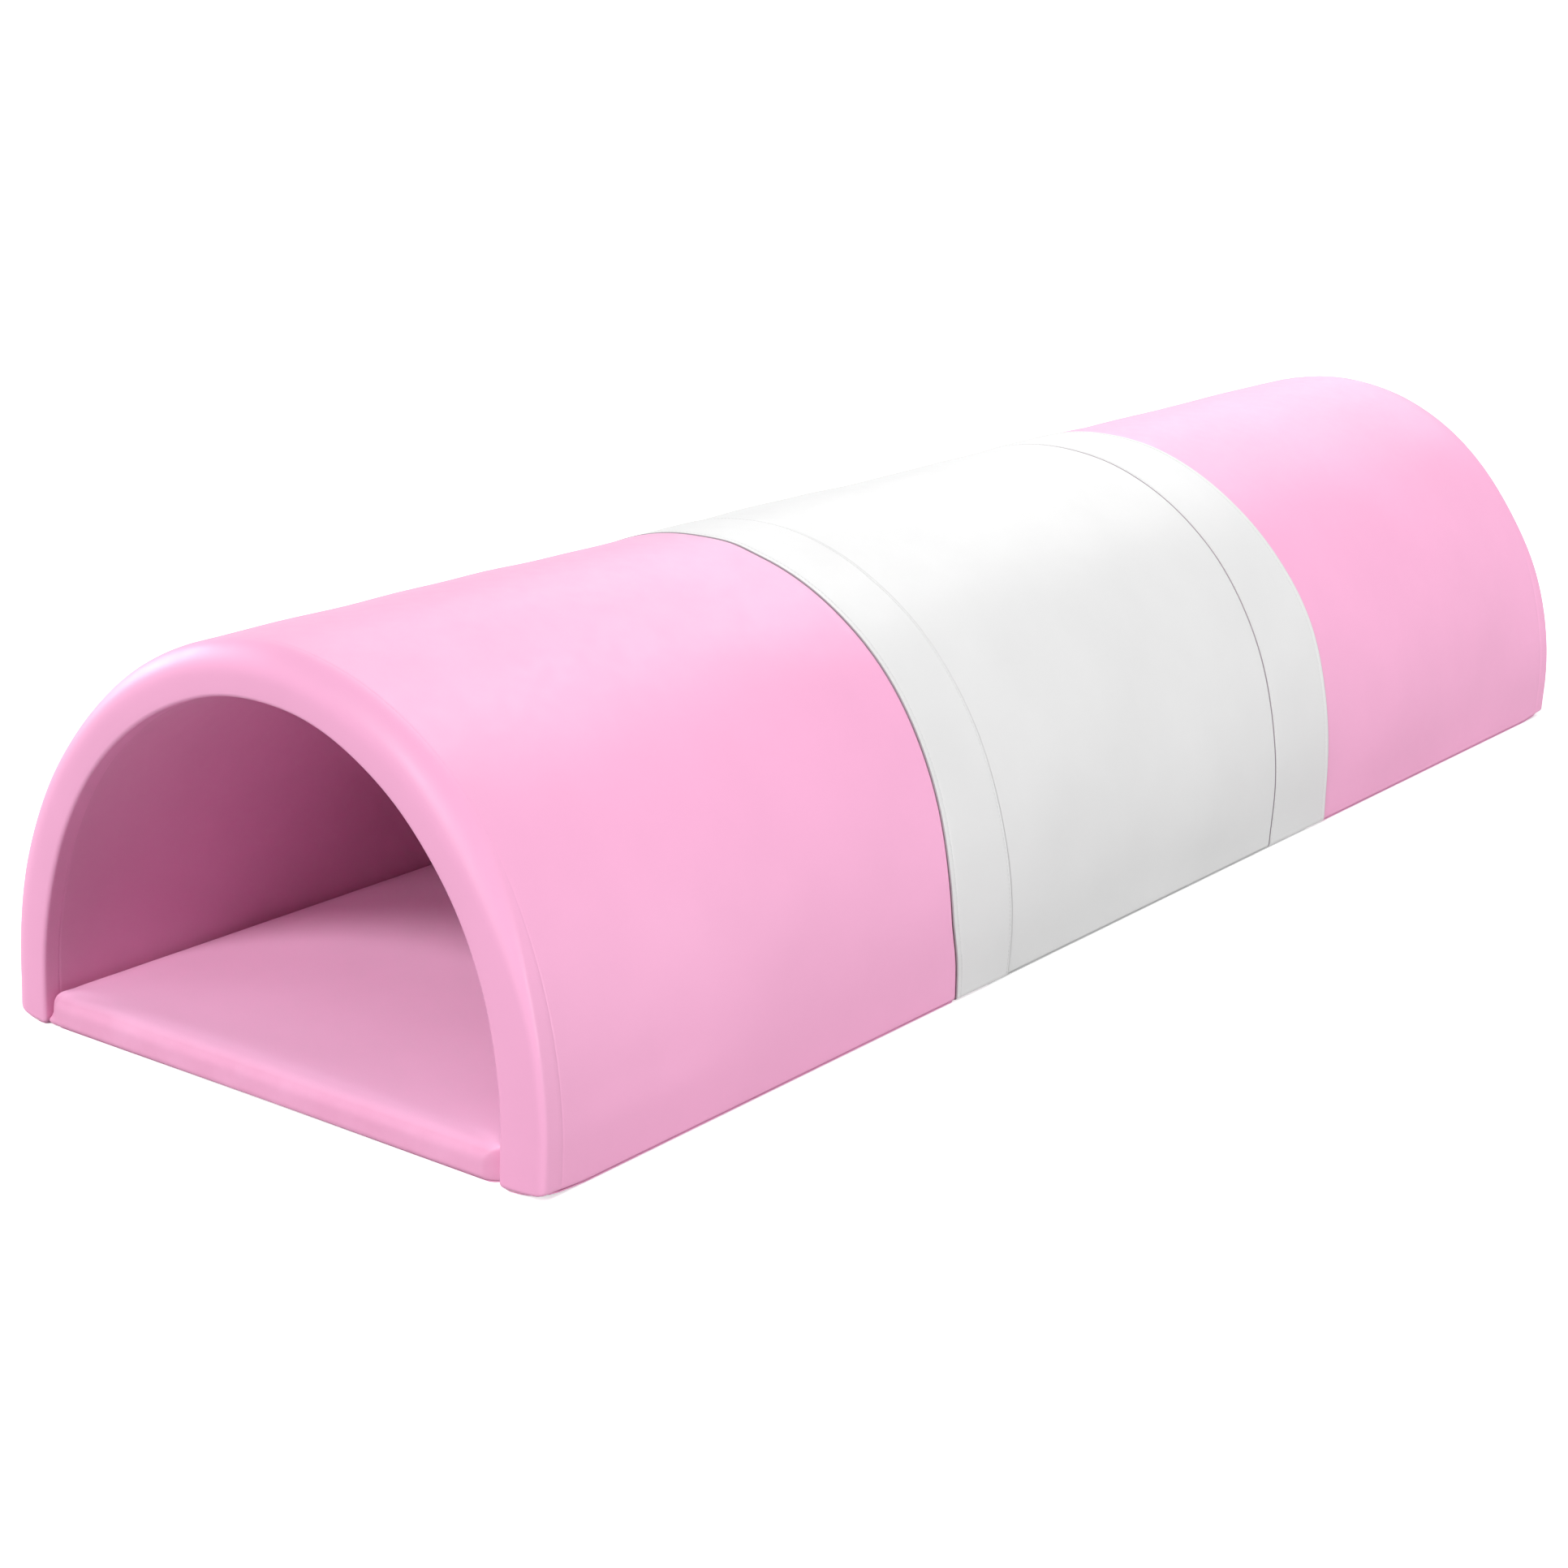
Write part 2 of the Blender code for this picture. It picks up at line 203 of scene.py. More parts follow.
class PaddingSettings(bpy.types.PropertyGroup):
    """How the foam rounds and fills the covers."""

    swell: metres("Swell", "Height of the broad, soft unevenness of the wall", 0.0006, 0.0)
    ripple: metres("Ripple", "Height of the smaller unevenness of the wall", 0.00018, 0.0)
    foot_radius: metres(
        "Foot Radius", "Rounding of the covers where they turn under a foot", 0.004, 0.0005)
    mouth_foot_radius: metres(
        "Mouth Foot Radius", "The same on the outer side of a mouth's feet", 0.005, 0.0005)
    foot_rise: metres(
        "Foot Rise", "How far the outer corner of a mouth's left foot is off the floor",
        0.0085, 0.0)
    right_share: factor("Right Share", "Share of that rise at the right foot", 0.35)
    rise_height: metres(
        "Rise Height", "Height of the part of the foot that this lifts", 0.035, 0.01)
    joint_radius: metres(
        "Joint Radius", "Rounding of an arch at the end that meets another", 0.003, 0.0005)
    seam_radius: metres(
        "Seam Radius", "Rounding of the fabric where it turns into a seam", 0.00008, 0.00005)
    seam_draw: metres("Seam Draw", "How far a seam pulls the padding in", 0.00005, 0.0)
    pucker: metres("Pucker", "Height of the small folds along a seam", 0.0001, 0.0)
    pucker_length: metres("Pucker Length", "Distance from one small fold to the next", 0.019, 0.005)
    rim_crown: metres("Rim Crown", "How far the face of a mouth bulges", 0.0012, 0.0)
    rim_foot_radius: metres(
        "Rim Foot Radius", "Outer rounding of a mouth's rim at its right foot", 0.0065, 0.001)
    rim_inner_radius: metres(
        "Rim Inner Radius", "Rounding of a mouth's rim towards the crawl space", 0.0035, 0.001)
    rim_wrap: metres(
        "Rim Wrap", "How far the rim's fabric reaches into the crawl space", 0.018, 0.005)
    mouth_fade: metres("Mouth Fade", "How far from a mouth its rounder feet reach", 0.06, 0.005)
    edge_valley: metres(
        "Edge Valley", "How deep the padding sinks behind the rim's right edge", 0.0026, 0.0)
    station_space: metres(
        "Station Space", "Distance between mesh rows along the arch", 0.0045, 0.001)


class FlapSettings(bpy.types.PropertyGroup):
    """The two bands that lap over the neighbouring arches."""

    front_sink: metres(
        "Front Sink", "How far a flap lies in the padding along its front edge", 0.0017, 0.0)
    seam_sink: metres("Seam Sink", "The same along the rear flap's seam", 0.0022, 0.0)
    back_sink: metres("Back Sink", "The same along its back edge", 0.0011, 0.0)
    fall: metres("Fall", "Width of the slope down to a flap's edge", 0.0022, 0.0001)
    hem_fold: metres("Hem Fold", "Extra thickness of the folded hem", 0.0001, 0.0)
    hem_width: metres("Hem Width", "Width of the folded hem", 0.009, 0.001)
    press_lead: metres(
        "Press Lead", "How far in front of a flap the end arch is pressed in", 0.0008, 0.0)
    foot_lead: metres(
        "Foot Lead", "How much more that is at the feet of the front arch", 0.0030, 0.0)
    seam_sway_foot: metres(
        "Seam Sway at the Foot", "Shift of the rear flap's seam at a foot", -0.009)
    seam_sway_top: metres("Seam Sway at the Top", "Shift of the rear flap's seam at the top", 0.015)
    kink: metres("Border Kink", "Height of the wave in the front flap's border", 0.0035)


class StitchSettings(bpy.types.PropertyGroup):
    """Rows of thread."""

    pitch: metres("Pitch", "Distance from one stitch to the next", 0.0042, 0.001)
    length: metres("Length", "Length of one stitch", 0.0034, 0.0005)
    thread: metres("Thread", "Thickness of the thread", 0.0004, 0.0001)
    hem_space: metres("Hem Space", "Distance of a row from a flap's free edge", 0.0070, 0.001)
    seam_space: metres("Seam Space", "Distance of a row from a flap's sewn edge", 0.0034, 0.001)
    groove: metres("Groove", "How deep a row is pulled in", 0.0003, 0.0)
    band_space: metres(
        "Band Space", "Distance of a row from the edge of a fastening band", 0.0022, 0.0005)


class MatSettings(bpy.types.PropertyGroup):
    """The cushion between the feet."""

    pressure: power("Pressure", "Air pressure that fills the cushion in the simulation", 1.0)
    frames: IntProperty(
        name="Frames", description="Length of the simulation", min=2, default=12)
    most_swell: metres("Most Swell", "How far the simulation may move a point", 0.0018, 0.0)
    side_share: factor(
        "Side Share", "Share of the sideways motion that the foam inside allows", 0.1)
    spacing: metres("Spacing", "Distance between mesh points before subdivision", 0.015, 0.003)
    crown: metres("Crown", "How far the middle stands above the edges", 0.0035, 0.0)
    end_radius: metres("End Radius", "Rounding of the upper edge at the two mouths", 0.013, 0.001)
    top_radius: metres("Top Radius", "Rounding of the upper edge along the feet", 0.009, 0.001)
    base_radius: metres("Base Radius", "Rounding of the lower edge", 0.005, 0.001)
    corner_radius: metres("Corner Radius", "Rounding of the corners seen from above", 0.014, 0.001)
    base_corner_radius: metres("Base Corner Radius", "The same at the floor", 0.0045, 0.001)
    tuck_width: metres(
        "Tuck Width", "Width of the tucked corner at the right of the front mouth", 0.018, 0.001)


class ZipSettings(bpy.types.PropertyGroup):
    """Zips under the feet and the mat."""

    pitch: metres("Pitch", "Distance from one turn of the coil to the next", 0.0020, 0.0005)
    wire: metres("Wire", "Thickness of the nylon wire", 0.0008, 0.0001)
    tape: shade("Tape", "Colour of the woven tape", (0.78, 0.78, 0.78))
    metal: shade("Metal", "Colour of the sliders", (0.62, 0.62, 0.64))


class StageSettings(bpy.types.PropertyGroup):
    """Floor, light and camera."""

    floor: shade("Floor", "Colour of the floor", (0.95, 0.95, 0.95))
    floor_bounce: factor(
        "Floor Bounce", "Share of that brightness in the light it throws back", 0.60)
    floor_glow: FloatProperty(
        name="Floor Glow", description="Light of its own, as a lit studio floor has",
        min=0.0, max=1.0, default=0.60)
    floor_size: metres("Floor Size", "Side of the floor", 120.0, 1.0)
    sky: power("Sky", "Strength of the white walls that the sheen shows", 1.0)
    key_softness: degrees("Key Softness", "Width of the two lights that fall into the mouth", 12)
    fill_softness: degrees("Fill Softness", "Width of the other lights", 24)
    front_light: power("Front Light", "Strength of the light that falls into the mouth", 1.96)
    front_light_aim: rotation("Front Light Aim", 49, 8)
    low_front_light: power(
        "Low Front Light", "Strength of the lower light that reaches further into it", 0.76)
    low_front_light_aim: rotation("Low Front Light Aim", 66, 8)
    high_front_light: power(
        "High Front Light", "Strength of the higher light on the mat's front and the top", 0.36)
    high_front_light_aim: rotation("High Front Light Aim", 24, 0)
    side_light: power("Side Light", "Strength of the low light on the right side", 2.44)
    side_light_aim: rotation("Side Light Aim", 86, 112)
    back_light: power(
        "Back Light", "Strength of the light from behind that gives the top its sheen", 0.40)
    back_light_aim: rotation("Back Light Aim", 65, -151)
    high_back_light: power(
        "High Back Light", "Strength of the light behind that gives the right shoulder its sheen",
        0.95)
    high_back_light_aim: rotation("High Back Light Aim", 47, -176)
    left_light: power(
        "Left Light", "Strength of the light on the left side and the far edge of the top", 1.8)
    left_light_aim: rotation("Left Light Aim", 72, -90)
    camera_place: FloatVectorProperty(
        name="Camera Place", description="Place of the camera",
        subtype="TRANSLATION", unit="LENGTH", default=(1.69597, -2.62174, 0.99995))
    camera_turn: degrees(
        "Camera Turn", "Turn of the view to the left of the tunnel's length", 35.3964)
    camera_tilt: degrees("Camera Tilt", "Tilt of the view above the horizon", -16.880)
    camera_roll: degrees("Camera Roll", "Turn of the picture about the line of sight", 2.3184)
    camera_pixels: FloatProperty(
        name="Focal Pixels", description="Focal length in pixels of the photograph",
        min=100.0, default=3843.4)


class TunnelSettings(bpy.types.PropertyGroup):
    """All settings of the tunnel's finish."""

    leatherette: PointerProperty(type=LeatheretteSettings)
    padding: PointerProperty(type=PaddingSettings)
    flaps: PointerProperty(type=FlapSettings)
    stitches: PointerProperty(type=StitchSettings)
    mat: PointerProperty(type=MatSettings)
    zips: PointerProperty(type=ZipSettings)
    stage: PointerProperty(type=StageSettings)


def settings():
    """The settings that the panel shows."""
    return bpy.context.scene.play_tunnel


# The arch


class Tunnel:
    """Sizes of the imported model, and the line of its arch from the right foot to the left one."""

    def __init__(self):
        low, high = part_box("middle_outer_cover")
        self.half_width = high.x
        self.foot = low.z
        self.middle_reach = high.y
        sole_low, sole_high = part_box("middle_left_foot_panel")
        self.wall = sole_high.x - sole_low.x
        self.cover = sole_high.z - sole_low.z
        self.gap = self.foot - self.cover
        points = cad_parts["middle_outer_cover"].data.vertices
        outermost = [v.co.z for v in points if self.half_width - v.co.x < self.cover / 2]
        self.leg = max(outermost)
        self.rise = high.z - self.leg
        self.rim_start, self.mouth = (corner.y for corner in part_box("rear_mouth_rim"))
        self.end_start, self.rim_seam = (corner.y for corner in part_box("rear_outer_cover"))
        self.lining_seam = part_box("rear_inner_lining")[1].y
        self.turns = np.linspace(0.0, math.pi, TURN_STEPS)
        across = self.half_width * np.cos(self.turns)
        up = self.rise * np.sin(self.turns)
        steps = np.hypot(np.diff(across), np.diff(up))
        self.turn_ways = self.leg + np.concatenate(([0.0], np.cumsum(steps)))
        self.total = self.turn_ways[-1] + self.leg

    def line(self, ways):
        """Across and up of the outer surface, and its outward direction."""
        turn = np.interp(ways, self.turn_ways, self.turns)
        across = self.half_width * np.cos(turn)
        below = np.maximum(self.leg - ways, 0.0) + np.maximum(ways - self.total + self.leg, 0.0)
        up = self.leg + self.rise * np.sin(turn) - below
        out_across = np.cos(turn) / self.half_width
        out_up = np.sin(turn) / self.rise
        size = np.hypot(out_across, out_up)
        return across, up, out_across / size, out_up / size

    def stations(self):
        """Ways of the mesh rows, closer together where a foot is rounded."""
        chosen = settings().padding
        radius = chosen.mouth_foot_radius
        bend = turned_rows(radius, FOOT_STEPS)[:-1] + self.foot
        start = self.foot + radius
        count = int(round((self.total - 2 * start) / chosen.station_space))
        between = np.linspace(start, self.total - start, count)
        return np.concatenate((bend, between, self.total - bend[::-1]))


class Waves:
    """A soft uneven field over space, the same on each run."""

    def __init__(self, seed, count, longest, shortest, height):
        draw = np.random.default_rng(seed)
        lengths = draw.uniform(shortest, longest, count)
        aims = draw.normal(size=(count, 3))
        aims /= np.linalg.norm(aims, axis=1, keepdims=True)
        self.steps = aims * (2 * math.pi / lengths)[:, None]
        self.starts = draw.uniform(0.0, 2 * math.pi, count)
        self.height = height * math.sqrt(2 / count)

    def at(self, points):
        """Heights of the field at some points."""
        total = np.zeros(points.shape[:-1])
        for step, start in zip(self.steps, self.starts):
            total += np.sin(points @ step + start)
        return total * self.height


def smooth(share):
    """A soft step from 0 to 1."""
    share = np.clip(share, 0.0, 1.0)
    return share * share * (3.0 - 2.0 * share)


def turned_rows(radius, steps):
    """Distances from an edge for even steps round its rounding."""
    return radius * (1.0 - np.cos(np.linspace(0.0, QUARTER, steps)))


def rolled(distance, radius):
    """How far a surface has turned in at a distance from its edge."""
    left = np.clip(radius - distance, 0.0, radius)
    return radius - np.sqrt(radius * radius - left * left)


def begin():
    """The tunnel, its padded wall and the ways of the mesh rows."""
    tunnel = Tunnel()
    return tunnel, Wall(tunnel), tunnel.stations()


class Wall:
    """The padded wall: it puts points of the plain arch where the padding really brings them."""

    # Height above the floor where the unevenness is in full, and reach of a seam's pull and folds
    calm_height = 0.045
    seam_width = 0.006
    pucker_fade = 0.010

    # Count, longest and shortest length of the waves of a wall
    broad_waves = (14, 0.42, 0.20)
    small_waves = (18, 0.13, 0.07)

    # Folds along a seam: how far they drift, over how many folds that and their height change, and
    # the share of the height that each of them has
    drift = 1.6
    drift_folds = 5.3
    height_folds = 7.7
    even_share = 0.6

    # The valley behind the rim's edge: where it starts, how fast it deepens, where it ends and how
    # softly. Across it in radii of the rim, and up the side in leg heights.
    valley_across = (0.25, 1.8, 5.0, 9.0)
    valley_up = (0.9, 1.1, 3.6, 4.5)

    def __init__(self, tunnel):
        self.tunnel = tunnel
        chosen = settings().padding
        self.outer, self.inner = (
            (Waves(seed, *self.broad_waves, chosen.swell),
             Waves(seed + 1, *self.small_waves, chosen.ripple))
            for seed in (11, 21)
        )
        self.seams = [(tunnel.rim_seam, 0.0), (-tunnel.rim_seam, 2.1)]

    def pucker(self, ways, distance, start):
        """Height of the small folds at some distances from a seam."""
        chosen = settings().padding
        turn = 2 * math.pi * ways / chosen.pucker_length + start
        fold = np.sin(turn + self.drift * np.sin(turn / self.drift_folds))
        height = np.sin(turn / self.height_folds + start)
        fold = fold * (self.even_share + (1.0 - self.even_share) * height)
        return chosen.pucker * fold * np.exp(-np.abs(distance) / self.pucker_fade)

    def valley(self, ways, behind):
        """How far the padding sinks behind the front rim's edge, up its right side."""
        share = behind / (self.tunnel.mouth - self.tunnel.rim_start)
        start, width, end, fade = self.valley_across
        across = 1.0 - np.exp(-np.maximum(share - start, 0.0) / width)
        across = across * (1.0 - smooth((share - end) / fade))
        height = ways / self.tunnel.leg
        start, width, end, fade = self.valley_up
        along = smooth((height - start) / width) * (1.0 - smooth((height - end) / fade))
        return settings().padding.edge_valley * across * along

    def swell(self, fields, ways, points, seams):
        """How far the padding stands out of the plain surface at some points."""
        calm = smooth(points[..., 2] / self.calm_height)
        height = sum(field.at(points) for field in fields) * calm
        if seams:
            height -= self.valley(ways, points[..., 1] + self.tunnel.mouth)
        for seam, start in seams:
            distance = points[..., 1] - seam
            height -= settings().padding.seam_draw * np.exp(-(distance / self.seam_width) ** 2)
            height += self.pucker(ways, distance, start) * calm
        return height

    def place(self, ways, reach, depth, side=1.0, turned_in=1.0):
        """World points for rows of ways, each with its reaches and depths."""
        tunnel = self.tunnel
        across, up, out_across, out_up = (row[:, None] for row in tunnel.line(ways))
        along = side * reach
        ways = np.broadcast_to(ways[:, None], depth.shape)
        surface = np.stack(np.broadcast_arrays(across, along, up), axis=-1)
        inside = np.stack(
            np.broadcast_arrays(
                across - tunnel.wall * out_across, along, up - tunnel.wall * out_up
            ), axis=-1)
        share = np.clip(depth / tunnel.wall, 0.0, 1.0)
        padding = settings().padding
        near = self.near_mouth(reach)
        radius = padding.foot_radius + (padding.mouth_foot_radius - padding.foot_radius) * near
        deep = depth + rolled(up - tunnel.foot, radius) * turned_in * (1.0 - share)
        deep = deep - rolled(up - tunnel.foot, padding.foot_radius) * turned_in * share
        deep = deep - self.swell(self.outer, ways, surface, self.seams) * (1.0 - share)
        deep = deep + self.swell(self.inner, ways, inside, ()) * share
        deep = deep + self.sink(ways, along) * (1.0 - share)
        level = up - deep * out_up
        hand = np.where(ways > tunnel.total / 2, 1.0, padding.right_share)
        level = level + self.rise(level, reach, share) * hand
        return np.stack(np.broadcast_arrays(across - deep * out_across, along, level), axis=-1)

    def sink(self, ways, along):
        """How far the padding gives way under the flaps, more towards the front."""
        chosen = settings().flaps
        total = 0.0
        for prefix in ("front", "rear"):
            free, sewn = flap_sizes(prefix)
            borders = (
                free + border_sway(self.tunnel, prefix, ways),
                sewn + seam_sway(self.tunnel, prefix, ways),
            )
            low, high = borders if prefix == "front" else borders[::-1]
            inside = smooth((along - low) / chosen.fall + 1.0)
            inside = inside * smooth((high - along) / chosen.fall + 1.0)
            share = np.clip((along - low) / (high - low), 0.0, 1.0)
            first = chosen.front_sink if prefix == "front" else chosen.seam_sink
            total = total + (first + (chosen.back_sink - first) * share) * inside
        return total

    def near_mouth(self, reach):
        """1 at a mouth, 0 where its rounder feet end."""
        return smooth((reach - self.tunnel.mouth) / settings().padding.mouth_fade + 1.0)

    def rise(self, height, reach, share):
        """How far a mouth's left foot is lifted, most at its outer corner."""
        padding = settings().padding
        low = np.clip(1.0 - height / padding.rise_height, 0.0, 1.0)
        return padding.foot_rise * low * self.near_mouth(reach) * (1.0 - share)


# Meshes


def graded(start, end, count, crowding=0.8):
    """Numbers from start to end, closer together near both."""
    share = np.linspace(0.0, 1.0, count)
    share = share - crowding * np.sin(2 * math.pi * share) / (2 * math.pi)
    return start + (end - start) * share


def new_piece(name, points, faces, material):
    """A closed mesh as a new object, in place of an older one of its name."""
    older = bpy.data.objects.get(name)
    if older:
        bpy.data.objects.remove(older)
    mesh = bpy.data.meshes.new(name)
    mesh.from_pydata([tuple(point) for point in points], [], faces)
    shape = bmesh.new()
    shape.from_mesh(mesh)
    bmesh.ops.recalc_face_normals(shape, faces=shape.faces)
    shape.to_mesh(mesh)
    shape.free()
    mesh.materials.append(material)
    mesh.shade_smooth()
    piece = bpy.data.objects.new(name, mesh)
    bpy.context.scene.collection.objects.link(piece)
    return piece


def sweep(name, points, caps, material):
    """A closed skin through rows of loops, with the given faces at its first and last row."""
    rows, count = points.shape[:2]
    faces = []
    for row in range(rows - 1):
        here = row * count
        after = here + count
        for index in range(count):
            following = (index + 1) % count
            faces.append((here + index, here + following, after + following, after + index))
    last = (rows - 1) * count
    for cap in caps:
        faces.append(tuple(cap))
        faces.append(tuple(last + index for index in reversed(cap)))
    return new_piece(name, points.reshape(-1, 3), faces, material)


def strip_loops(reach, depth, thickness, bulge=0.0, steps=3):
    """Loops round a strip below a line of reaches and depths, and the faces that cap them."""
    line = np.stack(np.broadcast_arrays(reach, depth), axis=-1)
    slope = np.gradient(line, axis=1)
    slope /= np.linalg.norm(slope, axis=-1, keepdims=True)
    inward = np.stack((-slope[..., 1], slope[..., 0]), axis=-1)
    below = line + inward * np.asarray(thickness)[..., None]
    count = line.shape[1]
    angles = np.linspace(0.0, math.pi, steps + 2)[1:-1]
    ends = []
    for index, sign in ((-1, 1.0), (0, -1.0)):
        top = line[:, index, None]
        under = below[:, index, None]
        centre = (top + under) / 2
        lean = (top - under) / 2
        out = slope[:, index, None] * sign * bulge
        turns = angles[None, :, None]
        ends.append(centre + lean * np.cos(turns) + out * np.sin(turns))
    loops = np.concatenate((line, ends[0], below[:, ::-1], ends[1][:, ::-1]), axis=1)
    total = loops.shape[1]
    far = list(range(count - 1, count + steps + 1))
    near = [0] + list(range(total - 1, total - steps - 2, -1))
    opposite = 2 * count + steps - 1
    caps = [(i, i + 1, opposite - 1 - i, opposite - i) for i in range(count - 1)]
    return loops[..., 0], loops[..., 1], caps + [far, near]


def add_strip(name, wall, reach, depth, side, thickness, material, bulge=0.0):
    """A strip over the arch from foot to foot, and how far it reaches along the tunnel."""
    ways = wall.tunnel.stations()
    reach, depth, caps = strip_loops(reach, depth, thickness, bulge)
    size = (len(ways), reach.shape[1])
    reach, depth = (np.broadcast_to(grid, size) for grid in (reach, depth))
    piece = sweep(name, wall.place(ways, reach, depth, side), caps, material)
    return piece, float(np.ptp(reach))


def add_cover(wall, prefix, kind, layer, reach, depth, side, material, slot, share=1.0):
    name = f"{prefix}_{kind}_leatherette"
    piece, width = add_strip(name, wall, reach, depth, side, wall.tunnel.cover, material)
    finish_piece(piece, f"{prefix}_arch", slot, f"{prefix}_{layer}")


def add_bevel(piece, width):
    """Rounds the sharp edges of a piece."""
    bevel = piece.modifiers.new("Soft Edges", "BEVEL")
    bevel.width = width
    bevel.segments = 2
    bevel.limit_method = "ANGLE"
    bevel.angle_limit = SHARP_ANGLE


def copy_of_node(name, node, material):
    """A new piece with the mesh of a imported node."""
    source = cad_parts[node].data
    points = [tuple(vert.co) for vert in source.vertices]
    faces = [tuple(polygon.vertices) for polygon in source.polygons]
    piece = new_piece(name, points, faces, material)
    piece.data.set_sharp_from_angle(angle=SHARP_ANGLE)
    return piece


def finish_piece(piece, body, slot, *nodes):
    """Hangs a piece on the empty of its body and hides the nodes that it replaces; the slot is not
    used.
    """
    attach(piece, body)
    if nodes:
        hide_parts(*nodes)


# Materials


def add_node(tree, kind, inputs=None, **values):
    """A new node with some settings, and its inputs linked or set."""
    node = tree.nodes.new(kind)
    for name, value in values.items():
        setattr(node, name, value)
    for name, value in (inputs or {}).items():
        if isinstance(value, bpy.types.NodeSocket):
            tree.links.new(value, node.inputs[name])
        else:
            node.inputs[name].default_value = value
    return node


def math_node(tree, operation, first, second):
    """The result of a calculation with two values."""
    return add_node(tree, "ShaderNodeMath", {0: first, 1: second}, operation=operation).outputs[0]


def map_range(tree, value, source, target):
    """A value moved from one range to another, and kept inside it."""
    inputs = dict(enumerate((value, *source, *target)))
    return add_node(tree, "ShaderNodeMapRange", inputs).outputs[0]


def mix_colours(tree, share, first, second):
    """The first colour, and a share of the second one in its place."""
    inputs = {0: share, 6: first, 7: second}
    return add_node(tree, "ShaderNodeMix", inputs, data_type="RGBA").outputs[2]


def noise(tree, place, scale, detail=2.0):
    """An uneven value over space, with a number of patches in each metre."""
    inputs = {"Vector": place, "Scale": scale, "Detail": detail}
    return add_node(tree, "ShaderNodeTexNoise", inputs).outputs["Fac"]


def cells(tree, place, scale, feature="F1"):
    """The distance from the middle of the nearest cell."""
    inputs = {"Vector": place, "Scale": scale}
    return add_node(tree, "ShaderNodeTexVoronoi", inputs, feature=feature).outputs["Distance"]


def object_place(tree):
    """The place on the piece, in metres."""
    return add_node(tree, "ShaderNodeTexCoord").outputs["Object"]


def new_group(name, inputs, outputs):
    """An empty shader group with its sockets, and its two end nodes."""
    tree = bpy.data.node_groups.new(name, "ShaderNodeTree")
    for label, value in inputs.items():
        kind = "NodeSocketColor" if isinstance(value, tuple) else "NodeSocketFloat"
        socket = tree.interface.new_socket(label, in_out="INPUT", socket_type=kind)
        socket.default_value = value
    for label, kind in outputs.items():
        tree.interface.new_socket(label, in_out="OUTPUT", socket_type=f"NodeSocket{kind}")
    given = tree.nodes.new("NodeGroupInput").outputs
    result = tree.nodes.new("NodeGroupOutput").inputs
    return tree, given, result


# The leatherette's surface: heights of its pebbles, pores and creases, pores across a pebble, and
# creases, clouds of colour and patches of the darker colour near the floor, which is dust and
# painted shade, in each metre
PEBBLE_HEIGHT = 0.7
PORE_HEIGHT = 0.35
CREASE_HEIGHT = 0.8
PORES_PER_GRAIN = 3.1
CREASES_PER_METRE = 70.0
CLOUDS_PER_METRE = 7.0
PATCHES_PER_METRE = 26.0

# Fibres across a cell of foam or of a fastening band
FIBRES_PER_CELL = 2.4


def leatherette_group():
    """Embossed grain, faint unevenness of the colour, and a darker colour near the floor that is
    dust and painted shade.
    """
    name = "Leatherette Surface"
    if name in bpy.data.node_groups:
        return bpy.data.node_groups[name]
    inputs = {
        "Colour": (0.8, 0.8, 0.8, 1.0),
        "Dust": (0.6, 0.6, 0.6, 1.0),
        "Soiling": 0.3,
        "Soiled from Height": 0.0,
        "Soiled to Height": 0.11,
        "Grains per Metre": 900.0,
        "Roughness": 0.45,
    }
    outputs = {"Colour": "Color", "Roughness": "Float", "Height": "Float"}
    tree, given, result = new_group(name, inputs, outputs)
    place = object_place(tree)
    pebbles = cells(tree, place, given["Grains per Metre"], "SMOOTH_F1")
    density = math_node(tree, "MULTIPLY", given["Grains per Metre"], PORES_PER_GRAIN)
    pores = noise(tree, place, density, detail=3.0)
    creases = noise(tree, place, CREASES_PER_METRE, detail=4.0)
    raised = math_node(tree, "MULTIPLY_ADD", pebbles, -PEBBLE_HEIGHT)
    raised.node.inputs[2].default_value = 1.0
    finer = math_node(tree, "MULTIPLY", pores, PORE_HEIGHT)
    broader = math_node(tree, "MULTIPLY", creases, CREASE_HEIGHT)
    height = math_node(tree, "ADD", math_node(tree, "ADD", raised, finer), broader)
    tree.links.new(height, result["Height"])
    clouds = noise(tree, place, CLOUDS_PER_METRE, detail=3.0)
    tone = map_range(tree, clouds, (0.3, 0.7), (0.975, 1.02))
    inputs = {0: given["Colour"], "Scale": tone}
    lit = add_node(tree, "ShaderNodeVectorMath", inputs, operation="SCALE")
    up = add_node(tree, "ShaderNodeSeparateXYZ", {0: place}).outputs["Z"]
    # Dust and painted shade: the colour darkens towards the floor, in patches
    heights = (given["Soiled from Height"], given["Soiled to Height"])
    low = map_range(tree, up, heights, (1.0, 0.0))
    patches = noise(tree, place, PATCHES_PER_METRE, detail=5.0)
    patchy = map_range(tree, patches, (0.25, 0.75), (0.75, 1.1))
    dust_and_shade_mask = math_node(tree, "MULTIPLY", math_node(tree, "MULTIPLY", low, patchy), given["Soiling"])
    tree.links.new(mix_colours(tree, dust_and_shade_mask, lit.outputs[0], given["Dust"]), result["Colour"])
    rubbed = map_range(tree, creases, (0.3, 0.7), (-0.035, 0.04))
    tree.links.new(math_node(tree, "ADD", given["Roughness"], rubbed), result["Roughness"])
    return tree


